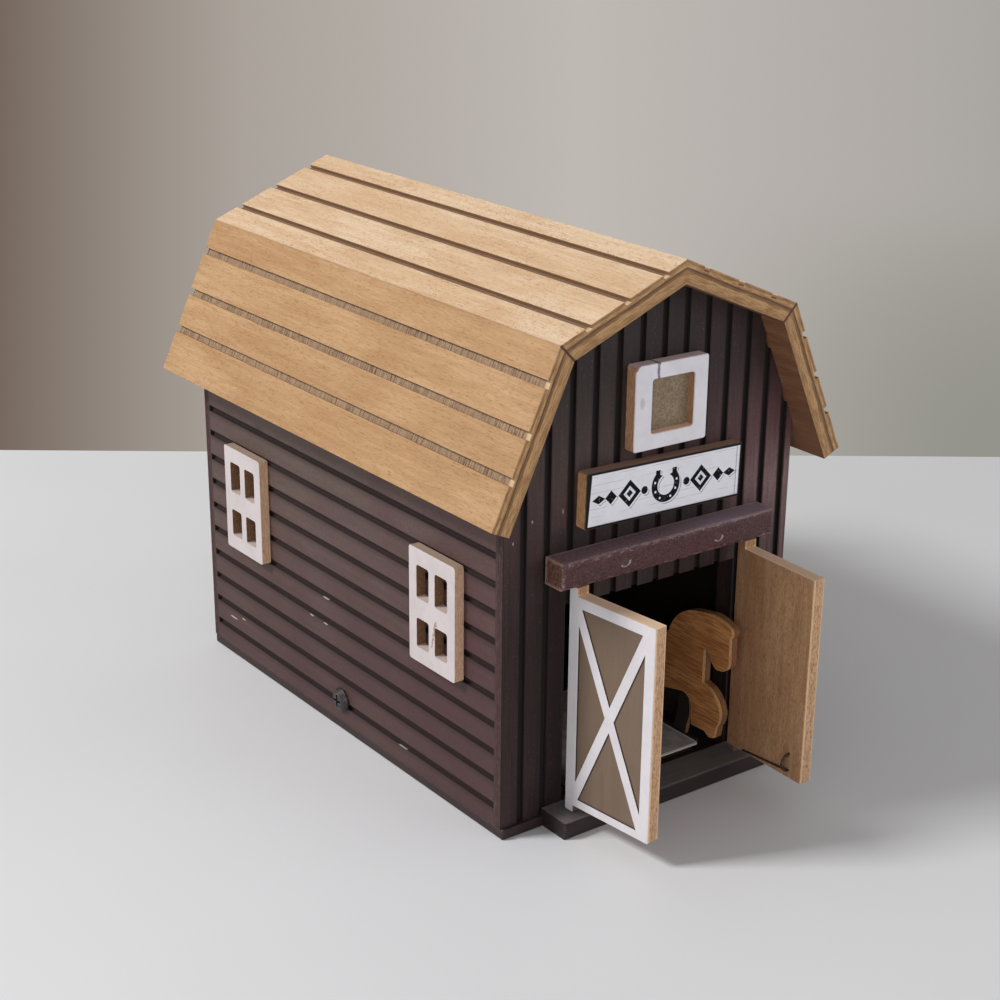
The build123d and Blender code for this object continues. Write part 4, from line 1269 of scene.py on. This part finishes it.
# %% The dusty sheet
plastic = Finish("white_sheet")
dust = plastic.noise(plastic.cells(5, 5, 5), detail=5.0, roughness=0.65)
scuff = plastic.noise(plastic.cells(0.6, 7, 0.6), detail=2.0)
upward_face = plastic.fade(plastic.faces_z, 0.5, 0.9)
dirty = plastic.mix(plastic.fade(dust, 0.35, 0.65), paint(204, 200, 198), paint(170, 166, 164))
dirty = plastic.mix(plastic.fade(scuff, 0.58, 0.7) * 0.5, dirty, paint(222, 220, 220))
shaded_end = plastic.fade(plastic.x, -14.0, -24.0)
# Painted highlight along the edges of the sheet's top.
rim = plastic.fade(edge_distance(plastic, "slide_sheet"), 0.75, 0.45) * (1 - shaded_end)
dirty = plastic.mix(rim * 0.9, dirty, paint(252, 250, 250))
colour = plastic.mix(upward_face, paint(255, 255, 255), dirty)
# Painted shade at the far end.
colour = plastic.mix(shaded_end * 0.95, colour, paint(30, 30, 27))
plastic.dress(colour, 0.42 + dust * 0.2, dust * 0.3 + scuff * 0.2, depth=0.05)
plastic.cover("slide_sheet")

# %% [markdown]
# ## Metal
#
# The side screws are blackened steel, rubbed grey along the crown and the cross. The
# pins and the pull wires are dull steel gone dark, and the brads are painted over with
# the lintel, so only their rims show bare steel, pale as a painted highlight. Metal needs
# little colour: what it reflects and how rough it is make the look, so the wear drives
# the roughness too.

# %% Blackened screws
screw = Finish("blackened_steel")
wear = screw.noise(screw.cells(0.6, 0.6, 0.6), detail=4.0, roughness=0.7)
rim = screw.edges(0.4) * screw.fade(wear, 0.35, 0.55)
colour = screw.mix(screw.fade(wear, 0.4, 0.7), paint(60, 56, 58), paint(92, 88, 90))
colour = screw.mix(rim * 0.75, colour, paint(176, 172, 176))
screw.dress(colour, 0.34 + wear * 0.2, wear, depth=0.04)
screw.feed(screw.shader, {"Metallic": 0.7})
screw.cover("side_screws")

# %% Dull steel pins and pull wires
steel = Finish("dull_steel")
tarnish = steel.noise(steel.cells(0.8, 0.8, 0.8), detail=4.0, roughness=0.7)
colour = steel.mix(steel.fade(tarnish, 0.35, 0.65), paint(112, 100, 92), paint(60, 48, 42))
steel.dress(colour, 0.32 + tarnish * 0.25, tarnish, depth=0.03)
steel.feed(steel.shader, {"Metallic": 0.8})
steel.cover("left_door_pins", "right_door_pins", "left_pull_wire", "right_pull_wire")

# %% Brads painted with the lintel
brad = Finish("painted_brads")
crust = brad.noise(brad.cells(0.5, 0.5, 0.5), detail=4.0, roughness=0.7)
colour = brad.mix(brad.fade(crust, 0.4, 0.6), paint(96, 66, 64), paint(70, 48, 48))
# Painted highlight on the rims.
rim_highlight = brad.edges(0.3) * brad.fade(crust, 0.4, 0.55)
colour = brad.mix(rim_highlight * 0.8, colour, paint(190, 172, 168))
brad.dress(colour, 0.45, crust, depth=0.05)
brad.cover("lintel_brads")

# %% [markdown]
# ## The table and the wall behind
#
# The barn stands on a pale table in front of a plain warm grey wall, darker towards the
# left. A real wall so close would stand in the way of every view from behind, so the
# wall's colour lies on the ground beyond the table's back edge instead, which looks the
# same from the front. It is given as a plain glow, so that no lamp lights it unevenly,
# and its shades follow a ramp that fans out from the viewer's place on the floor. Both
# are flat sheets.


# %% A flat sheet of scenery
def flat_sheet(name, corners):
    """A level sheet on the ground that is scenery, not part of the toy."""
    mesh = bpy.data.meshes.new(name)
    sheet = bmesh.new()
    face = sheet.faces.new([sheet.verts.new((x, y, 0)) for x, y in corners])
    face.normal_update()
    if face.normal.z < 0:
        face.normal_flip()
    sheet.to_mesh(mesh)
    sheet.free()
    made = bpy.data.objects.new(name, mesh)
    bpy.context.scene.collection.objects.link(made)
    print(name, "has", len(corners), "corners and lies level at", made.location.z)
    return made


# %% Lay the table and the ground beyond
BACK_EDGE = (Vector((-0.0335, 0.3297)), Vector((0.3446, 0.0633)))
SHEET_REACH = 6
run = (BACK_EDGE[1] - BACK_EDGE[0]).normalized() * SHEET_REACH
away = Vector((-run.y, run.x))
left_end, right_end = BACK_EDGE[0] - run, BACK_EDGE[0] + run
table = flat_sheet("table", [left_end, right_end, right_end - away, left_end - away])
beyond = flat_sheet("ground_beyond", [left_end, right_end, right_end + away, left_end + away])

# %% Colour the table
table_top = Finish("table_top")
cloud = table_top.noise(table_top.cells(160, 160, 160), detail=2.0)
cloudy = table_top.fade(cloud, 0.3, 0.7)
colour = table_top.mix(cloudy, paint(226, 228, 232), paint(222, 224, 228))
table_top.dress(colour, 0.55, cloud, depth=0.01)
table.data.materials.append(table_top.material)
table_top.report("its clouds")

# %% A fan across the wall from the viewer's place
FAN_POINT = Vector((-397.05, -560.79))
FAN_AXIS = Vector((0.6393, 0.76896))
FAN_START, FAN_WIDTH = -0.3159, 0.4955
wall_tone = Finish("wall_tone")
reach_x, reach_y = wall_tone.x - FAN_POINT.x, wall_tone.y - FAN_POINT.y
depth = reach_x * FAN_AXIS.x + reach_y * FAN_AXIS.y
across = (reach_x * FAN_AXIS.y - reach_y * FAN_AXIS.x) / depth
spread = (across - FAN_START) / FAN_WIDTH
wall_tone.report("the fan")

# %% Shades across the fan, given as a glow
wall = wall_tone.node(
    "ShaderNodeValToRGB",
    {
        "stops": [
            (0.0, paint(118, 104, 94)),
            (0.24, paint(170, 162, 154)),
            (0.58, paint(191, 185, 180)),
            (1.0, paint(170, 166, 161)),
        ]
    },
    {"Fac": spread},
)
low_right = wall_tone.fade(spread, 0.6, 1.0) * wall_tone.fade(depth, 1700.0, 950.0)
wall = wall_tone.mix(low_right * 0.9, wall, paint(146, 145, 137))
wall_tone.dress((0.0, 0.0, 0.0, 1.0), 1.0, 0.0)
glow = {"Emission Color": wall, "Emission Strength": 1.0, "Specular IOR Level": 0.0}
wall_tone.feed(wall_tone.shader, glow)
beyond.data.materials.append(wall_tone.material)
wall_tone.report("its shades")

# %% [markdown]
# ## Soft light from the left
#
# A window to the left and a little behind gives the toy its shape: the roof and the
# side are brightest, the gable is in its own shade, and a soft shadow falls to the
# right. Two wide cooler lamps stand low in front: the right one lights the white faces
# on the gable, and the left one reaches the horse in the doorway. The power of each is
# set so that a colour on the lit side renders about as it is written: in watts that is
# the square of pi times the distance, times its share.


# %% Lamps
BARN_MIDDLE = Vector((0, 0, 0.08))


def lamp(name, turn, rise, distance, sides, share, tint):
    """A lamp that gives this share of full light on a surface that faces it."""
    light = bpy.data.lights.new(name, "AREA")
    light.shape = "RECTANGLE"
    light.size, light.size_y = sides
    light.energy = share * (math.pi * distance) ** 2
    light.color = tint
    made = bpy.data.objects.new(name, light)
    turn, rise = math.radians(turn), math.radians(rise)
    offset = Vector(
        (math.sin(turn) * math.cos(rise), -math.cos(turn) * math.cos(rise), math.sin(rise))
    )
    made.location = BARN_MIDDLE + offset * distance
    made.rotation_euler = (-offset).to_track_quat("-Z", "Y").to_euler()
    bpy.context.scene.collection.objects.link(made)
    print(name, "gives", share, "with", round(light.energy, 1), "W")


lamp("window_light", -113, 43, 1.6, (0.34, 0.34), 0.74, (1.0, 0.985, 0.97))
lamp("front_fill", 36, 13, 1.7, (1.2, 0.5), 0.15, (0.93, 0.96, 1.0))
lamp("near_fill", -42, 14, 1.7, (1.2, 0.5), 0.14, (0.97, 0.98, 1.0))

# %% Even light from the room
world = bpy.data.worlds.new("even_fill")
world.use_nodes = True
background = world.node_tree.nodes["Background"]
background.inputs["Color"].default_value = paint(200, 196, 192)
background.inputs["Strength"].default_value = 0.62
bpy.context.scene.world = world
print("the room adds", round(background.inputs["Strength"].default_value, 2), "all round")
